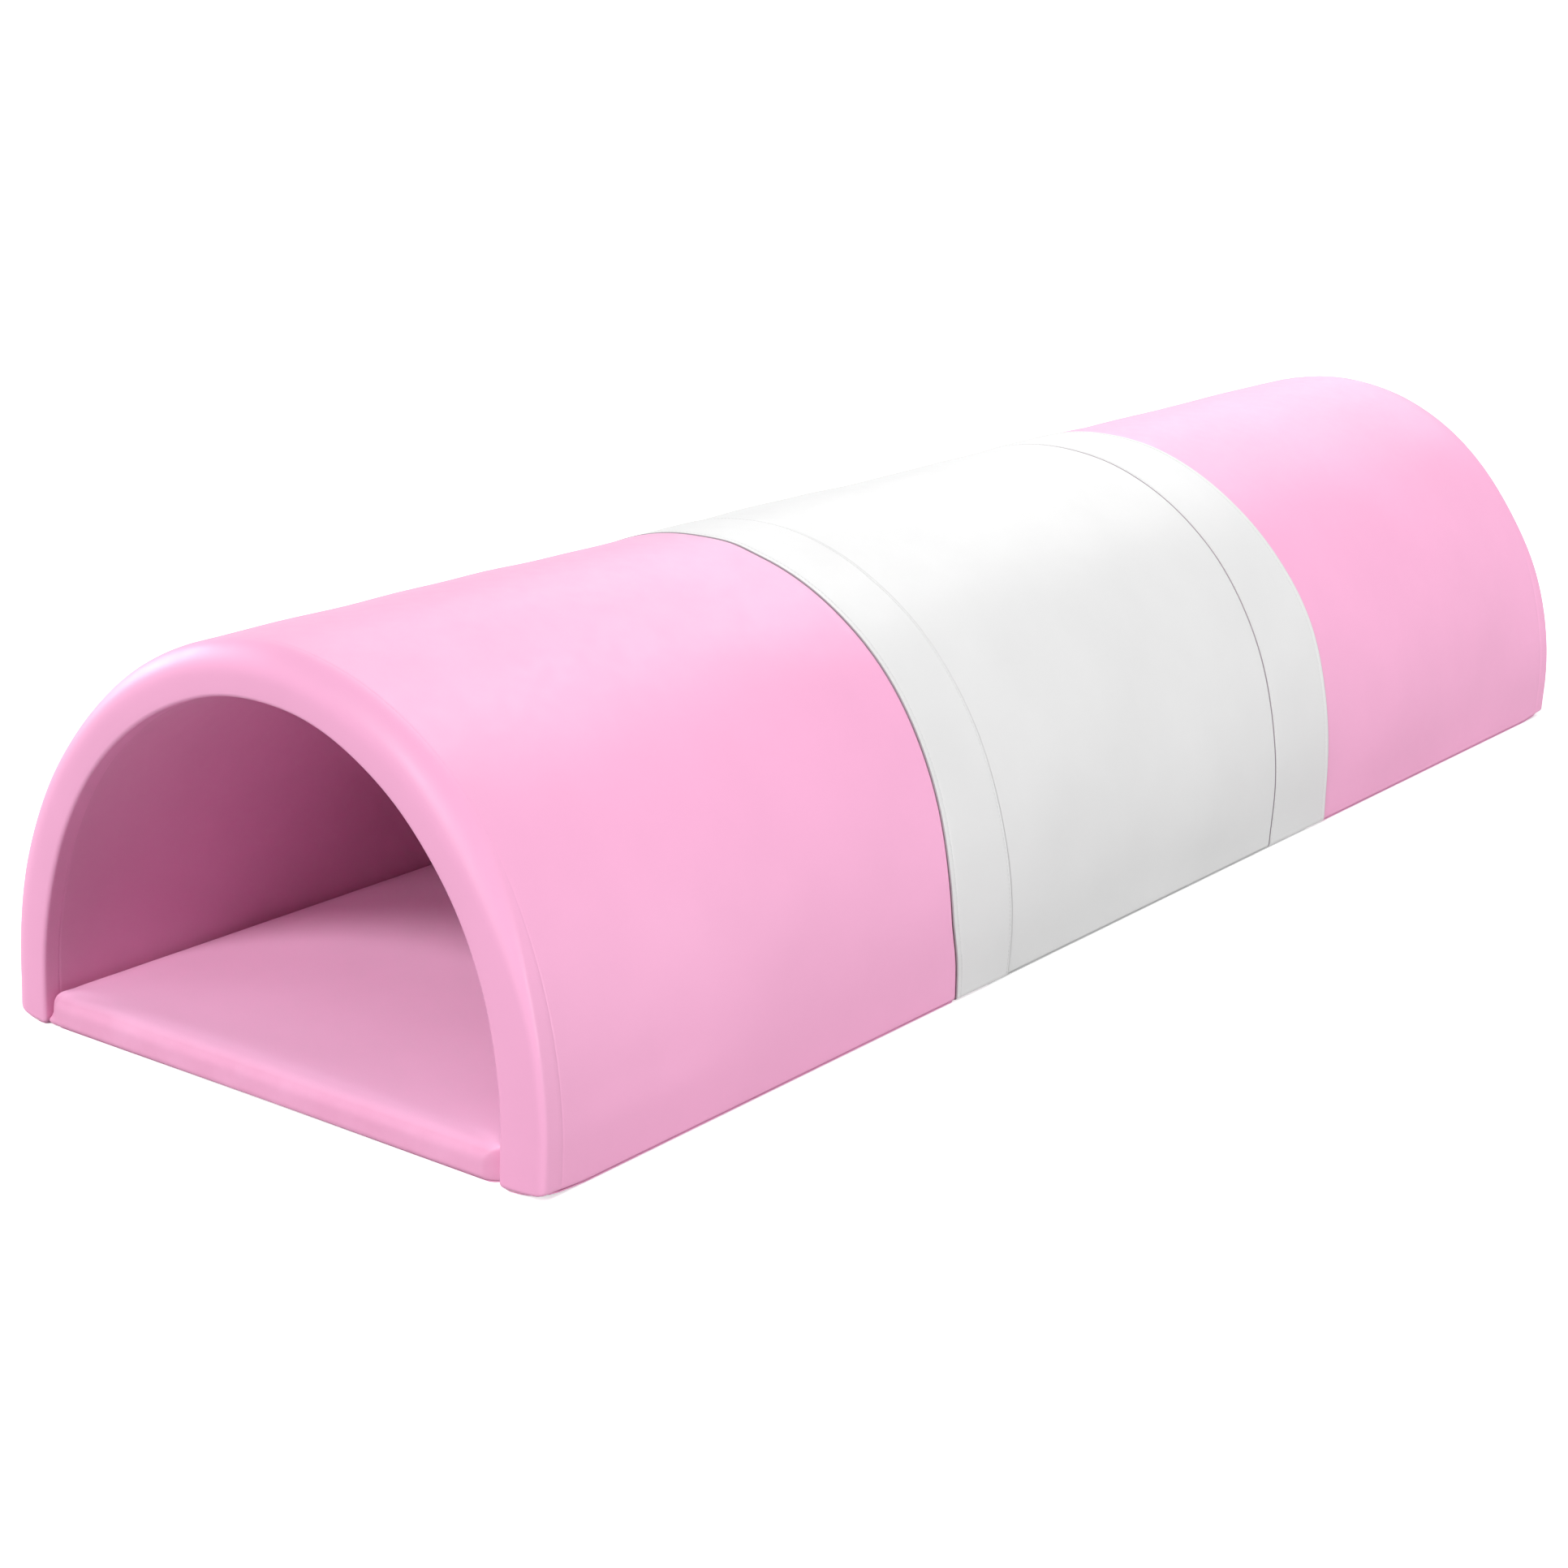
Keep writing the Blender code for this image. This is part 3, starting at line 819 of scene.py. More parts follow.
def weave_group():
    """Threads that cross, for tapes: a height and a mask of the gaps between them."""
    name = "Tape Weave"
    if name in bpy.data.node_groups:
        return bpy.data.node_groups[name]
    outputs = {"Height": "Float", "Gaps": "Float"}
    tree, given, result = new_group(name, {"Threads per Metre": 2000.0}, outputs)
    place = object_place(tree)
    lines = []
    for direction in ("X", "Y"):
        inputs = {"Vector": place, "Scale": given["Threads per Metre"], "Distortion": 0.2}
        wave = add_node(tree, "ShaderNodeTexWave", inputs, bands_direction=direction)
        lines.append(wave.outputs["Fac"])
    height = math_node(tree, "MAXIMUM", *lines)
    tree.links.new(height, result["Height"])
    tree.links.new(map_range(tree, height, (0.2, 0.8), (1.0, 0.0)), result["Gaps"])
    return tree


def pile_group():
    """Fibres of hook and loop tape, or the open cells of foam."""
    name = "Cells and Fibres"
    if name in bpy.data.node_groups:
        return bpy.data.node_groups[name]
    inputs = {"Cells per Metre": 1200.0, "Tangle": 0.5}
    outputs = {"Height": "Float", "Hollows": "Float"}
    tree, given, result = new_group(name, inputs, outputs)
    place = object_place(tree)
    bubbles = cells(tree, place, given["Cells per Metre"])
    density = math_node(tree, "MULTIPLY", given["Cells per Metre"], FIBRES_PER_CELL)
    fibres = noise(tree, place, density, detail=4.0)
    tangled = math_node(tree, "MULTIPLY", fibres, given["Tangle"])
    height = math_node(tree, "ADD", bubbles, tangled)
    tree.links.new(height, result["Height"])
    tree.links.new(map_range(tree, bubbles, (0.05, 0.6), (1.0, 0.0)), result["Hollows"])
    return tree


def new_material(name, roughness, metallic=0.0):
    """A new material, its node tree and the inputs of its shader."""
    material = bpy.data.materials.new(name)
    material.use_nodes = True
    shader = material.node_tree.nodes["Principled BSDF"]
    shader.inputs["Roughness"].default_value = roughness
    shader.inputs["Metallic"].default_value = metallic
    return material, material.node_tree, shader.inputs


def use_group(tree, group, inputs):
    """The outputs of a shader group with some values."""
    node = tree.nodes.new("ShaderNodeGroup")
    node.node_tree = group
    for name, value in inputs.items():
        node.inputs[name].default_value = value
    return node.outputs


def add_bump(tree, sockets, height, distance):
    """Lets a height of some metres change how the surface takes the light."""
    inputs = {"Height": height, "Distance": distance, "Strength": 1.0}
    bump = add_node(tree, "ShaderNodeBump", inputs)
    tree.links.new(bump.outputs["Normal"], sockets["Normal"])


def darker(colour, share):
    """A share of a colour's brightness, as four values."""
    return (*(part * share for part in colour), 1.0)


def leatherette(name, colour, soiling, dust=None, heights=(0.0, 0.11)):
    """The coated fabric, darker between two heights: dust and painted shade near the floor, or the
    painted shade of the mat's edge.
    """
    chosen = settings().leatherette
    if name in bpy.data.materials:
        return bpy.data.materials[name]
    material, tree, sockets = new_material(name, chosen.roughness)
    sockets["Specular IOR Level"].default_value = chosen.gloss
    inputs = {
        "Colour": (*colour, 1.0),
        "Dust": dust or darker(colour, 0.77),
        "Soiling": soiling,
        "Soiled from Height": heights[0],
        "Soiled to Height": heights[1],
        "Grains per Metre": 1.0 / chosen.grain_size,
        "Roughness": chosen.roughness,
    }
    surface = use_group(tree, leatherette_group(), inputs)
    tree.links.new(surface["Colour"], sockets["Base Color"])
    tree.links.new(surface["Roughness"], sockets["Roughness"])
    add_bump(tree, sockets, surface["Height"], chosen.grain_depth)
    return material


def fabric(kind):
    """The coated fabric in a colour of its settings."""
    chosen = settings().leatherette
    name = {"flap_edge": "cut edge of leatherette"}.get(kind, f"{kind} leatherette")
    return leatherette(name, tuple(getattr(chosen, kind)), chosen.soiling)


def mat_leatherette():
    """The mat's fabric: a lighter pink than the arches' as painted light, with painted shade at its
    edge.
    """
    chosen = settings().leatherette
    edge = (*chosen.mat_edge_shade, 1.0)
    colour = tuple(chosen.mat)
    return leatherette("mat leatherette", colour, chosen.mat_edge_shade_share, edge, MAT_EDGE_SHADE_HEIGHTS)


def fibre_material(name, colour, per_metre, tangle, depth, hollow_share):
    """Foam, or the pile of a fastening band."""
    if name in bpy.data.materials:
        return bpy.data.materials[name]
    material, tree, sockets = new_material(name, 0.93)
    inputs = {"Cells per Metre": per_metre, "Tangle": tangle}
    surface = use_group(tree, pile_group(), inputs)
    # Painted shade: the hollows between cells and fibres are darker
    shades = mix_colours(tree, surface["Hollows"], (*colour, 1.0), darker(colour, hollow_share))
    tree.links.new(shades, sockets["Base Color"])
    add_bump(tree, sockets, surface["Height"], depth)
    return material


def foam_material():
    return fibre_material(
        "open cell foam", (0.88, 0.84, 0.72), per_metre=700.0, tangle=0.3, depth=0.0004,
        hollow_share=0.82)


def hook_material():
    return fibre_material(
        "hook tape", (0.82, 0.82, 0.82), per_metre=620.0, tangle=0.1, depth=0.0006,
        hollow_share=0.70)


def loop_material():
    return fibre_material(
        "loop tape", (0.88, 0.55, 0.72), per_metre=1400.0, tangle=1.3, depth=0.0005,
        hollow_share=0.80)


def woven_material(name, colour, threads, roughness, depth=0.00008):
    """Zip tape or sewing thread, with its threads per metre."""
    if name in bpy.data.materials:
        return bpy.data.materials[name]
    material, tree, sockets = new_material(name, roughness)
    surface = use_group(tree, weave_group(), {"Threads per Metre": threads})
    # Painted shade: the gaps between the threads are darker
    shades = mix_colours(tree, surface["Gaps"], (*colour, 1.0), darker(colour, 0.78))
    tree.links.new(shades, sockets["Base Color"])
    add_bump(tree, sockets, surface["Height"], depth)
    return material


def white_thread():
    return woven_material("white thread", (0.68, 0.68, 0.68), threads=900.0, roughness=0.7)


def pink_thread():
    colour = tuple(settings().leatherette.pink)
    return woven_material("pink thread", colour, threads=900.0, roughness=0.55)


def tape_material():
    colour = tuple(settings().zips.tape)
    return woven_material("zip tape", colour, threads=420.0, roughness=0.75)


def nylon_material():
    """The coil of the zips: smooth nylon, a little uneven."""
    name = "zip nylon"
    if name in bpy.data.materials:
        return bpy.data.materials[name]
    material, tree, sockets = new_material(name, 0.38)
    colour = tuple(settings().zips.tape)
    cloudy = noise(tree, object_place(tree), scale=300.0)
    shades = mix_colours(tree, cloudy, (*colour, 1.0), darker(colour, 0.85))
    tree.links.new(shades, sockets["Base Color"])
    return material


def metal_material():
    """Die-cast sliders, satin, with brushed marks and rubbed edges."""
    name = "slider metal"
    if name in bpy.data.materials:
        return bpy.data.materials[name]
    material, tree, sockets = new_material(name, 0.35, 1.0)
    colour = tuple(settings().zips.metal)
    marks = noise(tree, object_place(tree), scale=1800.0, detail=3.0)
    shades = mix_colours(tree, marks, (*colour, 1.0), darker(colour, 0.8))
    tree.links.new(shades, sockets["Base Color"])
    tree.links.new(map_range(tree, marks, (0.3, 0.7), (0.28, 0.42)), sockets["Roughness"])
    add_bump(tree, sockets, marks, distance=0.00002)
    return material


def floor_material():
    """A lit studio floor: white to look at, and dimmer in the light that it throws back."""
    name = "studio floor"
    if name in bpy.data.materials:
        return bpy.data.materials[name]
    chosen = settings().stage
    material, tree, sockets = new_material(name, 0.9)
    colour = tuple(chosen.floor)
    seen = tree.nodes.new("ShaderNodeLightPath").outputs["Is Camera Ray"]
    bounced = darker(colour, chosen.floor_bounce)
    tree.links.new(mix_colours(tree, seen, bounced, (*colour, 1.0)), sockets["Base Color"])
    glow = (chosen.floor_glow,) * 3
    given_off = mix_colours(tree, seen, (0.0, 0.0, 0.0, 1.0), (*glow, 1.0))
    tree.links.new(given_off, sockets["Emission Color"])
    sockets["Emission Strength"].default_value = 1.0
    sockets["Specular IOR Level"].default_value = 0.0
    return material


# Shapes of the wall's layers


def flap_sizes(prefix):
    """The places of a flap's free and sewn edge along the tunnel."""
    low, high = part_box(f"{prefix}_flap")
    free, sewn = (low.y, high.y) if prefix == "front" else (high.y, low.y)
    return free, sewn


def flap_top():
    """How far a flap stands above the arch's own outer surface."""
    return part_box("front_flap")[1].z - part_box("middle_outer_cover")[1].z


def border_sway(tunnel, prefix, ways):
    """How far a flap's free edge wanders from a straight line, along the length."""
    lean, wave, middle, below, above = BORDER_WAVES[prefix]
    from_foot = np.minimum(ways, tunnel.total - ways)
    width = np.where(from_foot < middle, below, above)
    sway = lean + wave * np.exp(-((from_foot - middle) / width) ** 2)
    if prefix == "rear":
        return sway
    turn = (ways / tunnel.total - KINK_PLACE) / KINK_LENGTH
    return sway + settings().flaps.kink * turn * np.exp(0.5 - 0.5 * turn * turn) * 0.5


def seam_sway(tunnel, prefix, ways, steepness=1.2):
    """The same for the sewn edge."""
    if prefix == "front":
        return np.zeros_like(ways)
    chosen = settings().flaps
    arch = np.sin(math.pi * np.clip(ways / tunnel.total, 0.0, 1.0)) ** steepness
    return chosen.seam_sway_foot + (chosen.seam_sway_top - chosen.seam_sway_foot) * arch


def pressed_depth(tunnel, prefix, ways, reach):
    """How deep a flap and its bands press the end arch in, at some reaches of each way."""
    chosen = settings().flaps
    full = tunnel_press(prefix)
    free = abs(flap_sizes(prefix)[0])
    side = -1.0 if prefix == "front" else 1.0
    border = free + side * border_sway(tunnel, prefix, ways)[:, None]
    more = chosen.foot_lead * foot_share(tunnel, ways)[:, None] * (prefix == "front")
    lead = chosen.press_lead + more
    return full * smooth((border - reach + lead) / (lead + tunnel.cover * 2))


def foot_share(tunnel, ways, legs=7.5):
    """1 at the feet, 0 from some leg heights up, for what a flap's edge does."""
    from_foot = np.minimum(ways, tunnel.total - ways)
    return smooth(1.0 - from_foot / (tunnel.leg * legs))


def tunnel_press(prefix, near=0.001):
    """The depth of the step under a flap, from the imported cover's points near its joint."""
    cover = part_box(f"{prefix}_outer_cover")[1].z
    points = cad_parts[f"{prefix}_outer_cover"].data.vertices
    joint = min(abs(vert.co.y) for vert in points)
    top = max(vert.co.z for vert in points if abs(abs(vert.co.y) - joint) < near)
    return cover - top


def end_cover_line(tunnel, prefix, ways):
    """Reaches and depths of an end arch's outer cover, from the joint to the rim."""
    padding = settings().padding
    border = abs(flap_sizes(prefix)[0])
    rim = tunnel.rim_seam
    seam = padding.seam_radius
    bend = padding.joint_radius
    start = tunnel.end_start
    reach = np.concatenate((
        start + turned_rows(bend, JOINT_STEPS),
        np.linspace(start + bend, border - BORDER_SPACE, 6)[1:-1],
        border - BORDER_ROWS[::-1],
        graded(border + BORDER_SPACE, rim - seam, COVER_STEPS)[1:-1],
        rim - seam * SEAM_SHARES[::-1],
    ))
    side = -1.0 if prefix == "front" else 1.0
    sway = side * border_sway(tunnel, prefix, ways)[:, None]
    turned = rolled(rim - reach, seam) + rolled(reach - start, bend)
    drawn = (start + bend, border - BORDER_SPACE, border + BORDER_SPACE, border + BORDER_FADE)
    reach = reach + sway * np.interp(reach, drawn, (0.0, 1.0, 1.0, 0.0))
    return reach, pressed_depth(tunnel, prefix, ways, reach) + turned


def rim_radius(tunnel, ways, legs=3.0, fade=5.0):
    """The rim's outer rounding: smaller at the right foot, up to some leg heights."""
    foot = settings().padding.rim_foot_radius
    full = tunnel.mouth - tunnel.rim_start
    return foot + (full - foot) * smooth((ways / tunnel.leg - legs) / fade)


def rim_line(tunnel, ways):
    """The mouth's rounded edge, from the outer seam over the face to the inner seam."""
    padding = settings().padding
    seam = padding.seam_radius
    inner = padding.rim_inner_radius
    radius = rim_radius(tunnel, ways)[:, None]
    turns = np.linspace(0.0, QUARTER, 13)[None, :]
    tucked = seam * SEAM_SHARES[None, :]
    rows = np.ones_like(radius)
    start = tunnel.rim_seam + SEAM_SPACE
    bend = tunnel.mouth - radius
    shares = np.linspace(0.0, 1.0, 7)[None, 1:-1]
    wrap = tunnel.mouth - padding.rim_wrap
    level = tunnel.wall - inner
    reach = np.concatenate((
        (start + tucked) * rows,
        start + seam + (bend - start - seam) * shares[:, 1:],
        bend + radius * np.sin(turns),
        tunnel.mouth * np.ones_like(shares) * rows,
        (tunnel.mouth - inner + inner * np.cos(turns[:, ::2])) * rows,
        (tunnel.mouth - inner + (wrap + seam - tunnel.mouth + inner) * shares) * rows,
        (wrap + tucked[:, ::-1]) * rows,
    ), axis=1)
    depth = np.concatenate((
        rolled(tucked, seam) * rows,
        0.0 * shares[:, 1:] * rows,
        radius - radius * np.cos(turns),
        radius + (level - radius) * shares,
        (level + inner * np.sin(turns[:, ::2])) * rows,
        tunnel.wall * np.ones_like(shares) * rows,
        (tunnel.wall - rolled(tucked[:, ::-1], seam)) * rows,
    ), axis=1)
    near = smooth((reach - tunnel.mouth + inner * 3) / (inner * 3))
    crown = padding.rim_crown * np.sin(math.pi * np.clip(depth / tunnel.wall, 0.0, 1.0)) * near
    return reach + crown, depth


# Pieces


class DressOuterCovers(bpy.types.Operator):
    """Make the outer covers of the three arches, filled by the foam"""

    bl_idname = "play_tunnel.outer_covers"
    bl_label = "Outer Covers"

    def execute(self, context):
        tunnel, wall, ways = begin()
        layer = ("cover", "outer_cover")
        for prefix, side in END_ARCHES:
            reach, depth = end_cover_line(tunnel, prefix, ways)
            finish = (fabric("pink"), "pink_leatherette")
            add_cover(wall, prefix, *layer, reach, depth, side, *finish)
        bend = context.scene.play_tunnel.padding.joint_radius
        end = tunnel.middle_reach
        corner = turned_rows(bend, JOINT_STEPS)
        front, rear = (flap_sizes(prefix)[1] for prefix in ("front", "rear"))
        reach = np.concatenate((
            corner - end,
            np.linspace(bend - end, front - SEAM_ROWS[-1], 4)[1:-1],
            front - SEAM_ROWS[::-1],
            graded(front - SEAM_ROWS[0], rear + SEAM_ROWS[0], COVER_STEPS)[1:-1],
            rear + SEAM_ROWS,
            np.linspace(rear + SEAM_ROWS[-1], end - bend, 8)[1:-1],
            end - corner[::-1],
        ))
        depth = rolled(end - np.abs(reach), bend)[None, :]
        drawn = (rear - SEAM_FADE, rear + SEAM_ROWS[0], rear + SEAM_ROWS[-1], end - bend)
        near = np.interp(reach, drawn, (0.0, 1.0, 1.0, 0.0))
        reach = reach + seam_sway(tunnel, "rear", ways)[:, None] * near
        finish = (fabric("white"), "white_leatherette")
        add_cover(wall, "middle", *layer, reach, depth, 1.0, *finish)
        return {"FINISHED"}


class DressMouthRims(bpy.types.Operator):
    """Make the rounded end panels of the two mouths"""

    bl_idname = "play_tunnel.mouth_rims"
    bl_label = "Mouth Rims"

    def execute(self, context):
        tunnel, wall, ways = begin()
        reach, depth = rim_line(tunnel, ways)
        loops, depths, caps = strip_loops(reach, depth, tunnel.cover)
        up = tunnel.line(ways)[1][:, None]
        foot = rolled(up - tunnel.foot, context.scene.play_tunnel.padding.foot_radius)
        near = smooth((loops - tunnel.rim_start) / (tunnel.mouth - tunnel.rim_start))
        for prefix, side in END_ARCHES:
            points = wall.place(ways, loops - foot * near, depths, side)
            piece = sweep(f"{prefix}_rim_leatherette", points, caps, fabric("pink"))
            finish_piece(piece, f"{prefix}_arch", "pink_leatherette", f"{prefix}_mouth_rim")
        return {"FINISHED"}


class DressInnerLinings(bpy.types.Operator):
    """Make the linings of the crawl space"""

    bl_idname = "play_tunnel.inner_linings"
    bl_label = "Inner Linings"

    def execute(self, context):
        tunnel = Tunnel()
        wall = Wall(tunnel)
        padding = context.scene.play_tunnel.padding
        seam = padding.seam_radius
        bend = padding.joint_radius
        corner = turned_rows(bend, JOINT_STEPS)
        start = tunnel.end_start
        rim = tunnel.mouth - padding.rim_wrap - SEAM_SPACE
        layer = ("lining", "inner_lining")
        reach = np.concatenate((
            rim - seam * SEAM_SHARES,
            graded(rim - seam, start + bend, COVER_STEPS)[1:-1],
            start + corner[::-1],
        ))[None, :]
        depth = tunnel.wall - rolled(rim - reach, seam) - rolled(reach - start, bend)
        for prefix, side in END_ARCHES:
            # The end linings take the darker lining colour: painted shade inside the tunnel
            finish = (fabric("lining"), "pink_leatherette")
            add_cover(wall, prefix, *layer, reach, depth, side, *finish, share=LINING_SHARE)
        end = tunnel.middle_reach
        reach = np.concatenate((
            end - corner,
            graded(end - bend, bend - end, COVER_STEPS)[1:-1],
            corner[::-1] - end,
        ))[None, :]
        depth = tunnel.wall - rolled(end - np.abs(reach), bend)
        finish = (fabric("white"), "white_leatherette")
        add_cover(wall, "middle", *layer, reach, depth, 1.0, *finish, share=LINING_SHARE)
        return {"FINISHED"}


class DressJointPanels(bpy.types.Operator):
    """Make the panels that close the foam where two arches meet"""

    bl_idname = "play_tunnel.joint_panels"
    bl_label = "Joint Panels"

    def execute(self, context):
        tunnel = Tunnel()
        wall = Wall(tunnel)
        pink = (fabric("pink"), "pink_leatherette")
        white = (fabric("white"), "white_leatherette")
        for prefix, side in END_ARCHES:
            names = (f"{prefix}_joint_closure", f"{prefix}_joint_panel", f"{prefix}_arch")
            self.add(wall, *names, tunnel.end_start, side, tunnel_press(prefix), pink)
            names = (f"middle_{prefix}_closure", f"middle_{prefix}_panel", "middle_arch")
            self.add(wall, *names, -tunnel.middle_reach, -side, 0.0, white)
        return {"FINISHED"}

    def add(self, wall, name, node, body, face, side, press, finish):
        """A panel whose outside is at a reach, from the lining up to the depth of the press."""
        tunnel = wall.tunnel
        bend = settings().padding.joint_radius
        depth = np.linspace(tunnel.wall - bend - tunnel.gap, press + bend + tunnel.gap, 12)
        reach = np.full_like(depth, face)
        material, slot = finish
        rows = (reach[None, :], depth[None, :])
        piece, _ = add_strip(name, wall, *rows, side, tunnel.cover, material)
        finish_piece(piece, body, slot, node)


class DressFootPanels(bpy.types.Operator):
    """Make the panels that the arches stand on"""

    bl_idname = "play_tunnel.foot_panels"
    bl_label = "Foot Panels"

    # How far a panel is drawn in, in the radius of the covers that turn under it
    draw_share = 0.6

    def execute(self, context):
        tunnel = Tunnel()
        wall = Wall(tunnel)
        for prefix in ARCHES:
            if prefix == "middle":
                material, slot = fabric("white"), "white_leatherette"
            else:
                material, slot = fabric("pink"), "pink_leatherette"
            for hand in ("left", "right"):
                node = f"{prefix}_{hand}_foot_panel"
                piece = copy_of_node(f"{prefix}_{hand}_sole", node, material)
                self.fit(piece, wall)
                add_bevel(piece, tunnel.cover * SOLE_BEVEL)
                finish_piece(piece, f"{prefix}_arch", slot, node)
        return {"FINISHED"}

    def fit(self, piece, wall):
        """Draws the outline in where the covers turn under, and lifts it where they rise."""
        tunnel = wall.tunnel
        padding = settings().padding
        amount = padding.foot_radius * self.draw_share
        shape = bmesh.new()
        shape.from_mesh(piece.data)
        for step in range(SOLE_CUTS):
            reach = tunnel.mouth - padding.mouth_fade * (1.0 - step / SOLE_CUTS)
            for place in (-reach, reach):
                geometry = shape.verts[:] + shape.edges[:] + shape.faces[:]
                bmesh.ops.bisect_plane(
                    shape, geom=geometry, plane_co=(0, place, 0), plane_no=(0, 1, 0))
        for vert in shape.verts:
            side = math.copysign(1.0, vert.co.x)
            reach = abs(vert.co.y)
            share = (tunnel.half_width - abs(vert.co.x)) / tunnel.wall
            hand = 1.0 if side < 0 else padding.right_share
            vert.co.z += float(wall.rise(vert.co.z, reach, share)) * hand
            vert.co.x -= side * amount * (1.0 - 2 * share)
            near = max(0.0, 1.0 - (tunnel.mouth - reach) / (tunnel.mouth - tunnel.rim_start))
            vert.co.y -= math.copysign(amount * near, vert.co.y)
        shape.to_mesh(piece.data)
        shape.free()


class DressFlaps(bpy.types.Operator):
    """Make the two flaps that lap over the end arches"""

    bl_idname = "play_tunnel.flaps"
    bl_label = "Flaps"

    def execute(self, context):
        tunnel, wall, ways = begin()
        for prefix in ("front", "rear"):
            shape = FlapShape(tunnel, prefix)
            line = shape.line()
            along, depth = shape.surface(ways, line)
            order = slice(None) if prefix == "front" else slice(None, None, -1)
            along, depth = along[:, order], depth[:, order]
            thickness = np.broadcast_to(shape.thickness(line)[order], along.shape)
            along, depth, caps = strip_loops(along, depth, thickness, bulge=shape.thick / 2)
            points = wall.place(ways, along, depth, turned_in=0.5)
            piece = sweep(f"{prefix}_flap_leatherette", points, caps, fabric("white"))
            self.paint_edge_shadows(piece, len(line), points)
            finish_piece(piece, "middle_arch", "white_leatherette", f"{prefix}_flap")
        return {"FINISHED"}

    def paint_edge_shadows(self, piece, across, points):
        """Gives the faces round the two long edges the dark colour of a cut edge, which paints a
        shadow line along the flap's border.
        """
        piece.data.materials.append(fabric("flap_edge"))
        rows, around = points.shape[:2]
        for face in piece.data.polygons[:(rows - 1) * around]:
            place = face.index % around
            on_far_edge = across - 1 <= place <= around // 2 - 1
            if on_far_edge or place >= around - (around - 2 * across) // 2 - 1:
                face.material_index = 1


class FlapShape:
    """A flap's surface, by the distance from its free edge to its sewn edge."""

    # Mesh rows beside a row of stitches, in millimetres for a fabric of the given thickness, and
    # between the free edge and the first of them as shares
    stitch_rows = np.array([-2.2, -1.3, -0.7, -0.35, 0.0, 0.35, 0.7, 1.3, 2.2])
    rows_thickness = 1.2
    edge_rows = np.array([0.0, 0.1, 0.3, 0.6])

    # Width of a stitched groove, in the fabric's thickness, how much deeper the last one is, and
    # how steeply the folded hem ends
    groove_width = 0.9
    last_groove = 1.2
    hem_steepness = 3

    def __init__(self, tunnel, prefix):
        self.tunnel = tunnel
        self.prefix = prefix
        self.free, self.sewn = flap_sizes(prefix)
        self.width = abs(self.sewn - self.free)
        self.top = flap_top()
        self.thick = self.top - tunnel.gap
        self.sign = 1.0 if self.sewn > self.free else -1.0
        stitches = settings().stitches
        self.rows = (stitches.hem_space, self.width - stitches.seam_space)

    def line(self):
        """Distances from the free edge for the mesh, with more of them at the rows of stitches."""
        half = self.thick / 2
        around = self.stitch_rows * self.tunnel.cover / self.rows_thickness
        near, far = self.rows
        return np.concatenate((
            half + (near + around[0] - half) * self.edge_rows,
            near + around,
            graded(near + around[-1], far + around[0], 24)[1:-1],
            far + around[:-2],
            [self.width - half * 1.4, self.width - half],
        ))

    def thickness(self, distance):
        """The flap is thicker where its hem is folded."""
        chosen = settings().flaps
        left = (chosen.hem_width - distance) / chosen.hem_width
        folded = smooth(left * self.hem_steepness)
        return self.thick + chosen.hem_fold * folded

    def surface(self, ways, distance):
        """Along places and depths of the upper surface at some distances from the free edge."""
        groove = settings().stitches.groove
        tunnel = self.tunnel
        share = distance[None, :] / self.width
        sway_free = border_sway(tunnel, self.prefix, ways)[:, None]
        sway_sewn = seam_sway(tunnel, self.prefix, ways)[:, None]
        along = self.free + self.sign * distance[None, :]
        along = along + sway_free * (1.0 - share) + sway_sewn * share
        hem = self.thickness(distance)[None, :] - self.thick
        depth = -self.top - hem
        width = tunnel.cover * self.groove_width
        for row in self.rows:
            depth = depth + groove * np.exp(-((distance[None, :] - row) / width) ** 2)
        last = np.exp(-(self.width - distance[None, :]) / width)
        depth = depth + groove * self.last_groove * last
        return along, np.broadcast_to(depth, along.shape)


class DressFasteningBands(bpy.types.Operator):
    """Make the hook bands under the flaps and the loop bands that they hold"""

    bl_idname = "play_tunnel.fastening_bands"
    bl_label = "Hook and Loop Bands"

    def execute(self, context):
        wall = Wall(Tunnel())
        for prefix in ("front", "rear"):
            self.add(wall, prefix, "hook", "middle_arch", hook_material(), white_thread())
            self.add(wall, prefix, "loop", f"{prefix}_arch", loop_material(), pink_thread())
        return {"FINISHED"}

    def add(self, wall, prefix, kind, body, material, thread):
        """A band and its two rows of stitches."""
        tunnel = wall.tunnel
        node = f"{prefix}_{kind}_band"
        low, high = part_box(node)
        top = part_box("middle_outer_cover")[1].z - high.z
        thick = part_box("rear_hook_band")[1].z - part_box("rear_loop_band")[1].z - tunnel.gap
        along = np.linspace(low.y + thick / 2, high.y - thick / 2, 11)
        rows = (along[None, :], np.full_like(along, top)[None, :])
        name = f"{prefix}_{kind}_tape"
        piece, _ = add_strip(name, wall, *rows, 1.0, thick, material, bulge=thick / 2)
        finish_piece(piece, body, f"{kind}_band", node)
        space = settings().stitches.band_space
        surface = top if kind == "loop" else top + thick
        outward = 1.0 if kind == "loop" else -1.0
        for label, row in (("outer", low.y + space), ("inner", high.y - space)):
            name = f"{prefix}_{kind}_tape_{label}_stitches"
            line = (np.full(2, row), np.full(2, surface))
            stitches = add_stitches(name, wall, thread, *line, outward)
            finish_piece(stitches, body, f"{kind}_band")


# Rings of a stitch: place along it in its half length, fatness and height in the thread's radius
STITCH_RINGS = (
    (-1.0, 0.25, -0.9), (-0.86, 0.85, -0.1), (-0.4, 1.0, 0.35), (0.4, 1.0, 0.35),
    (0.86, 0.85, -0.1), (1.0, 0.25, -0.9))
STITCH_SIDES = 6

# How much of each leg a row of stitches leaves out
BARE_LEG = 0.25


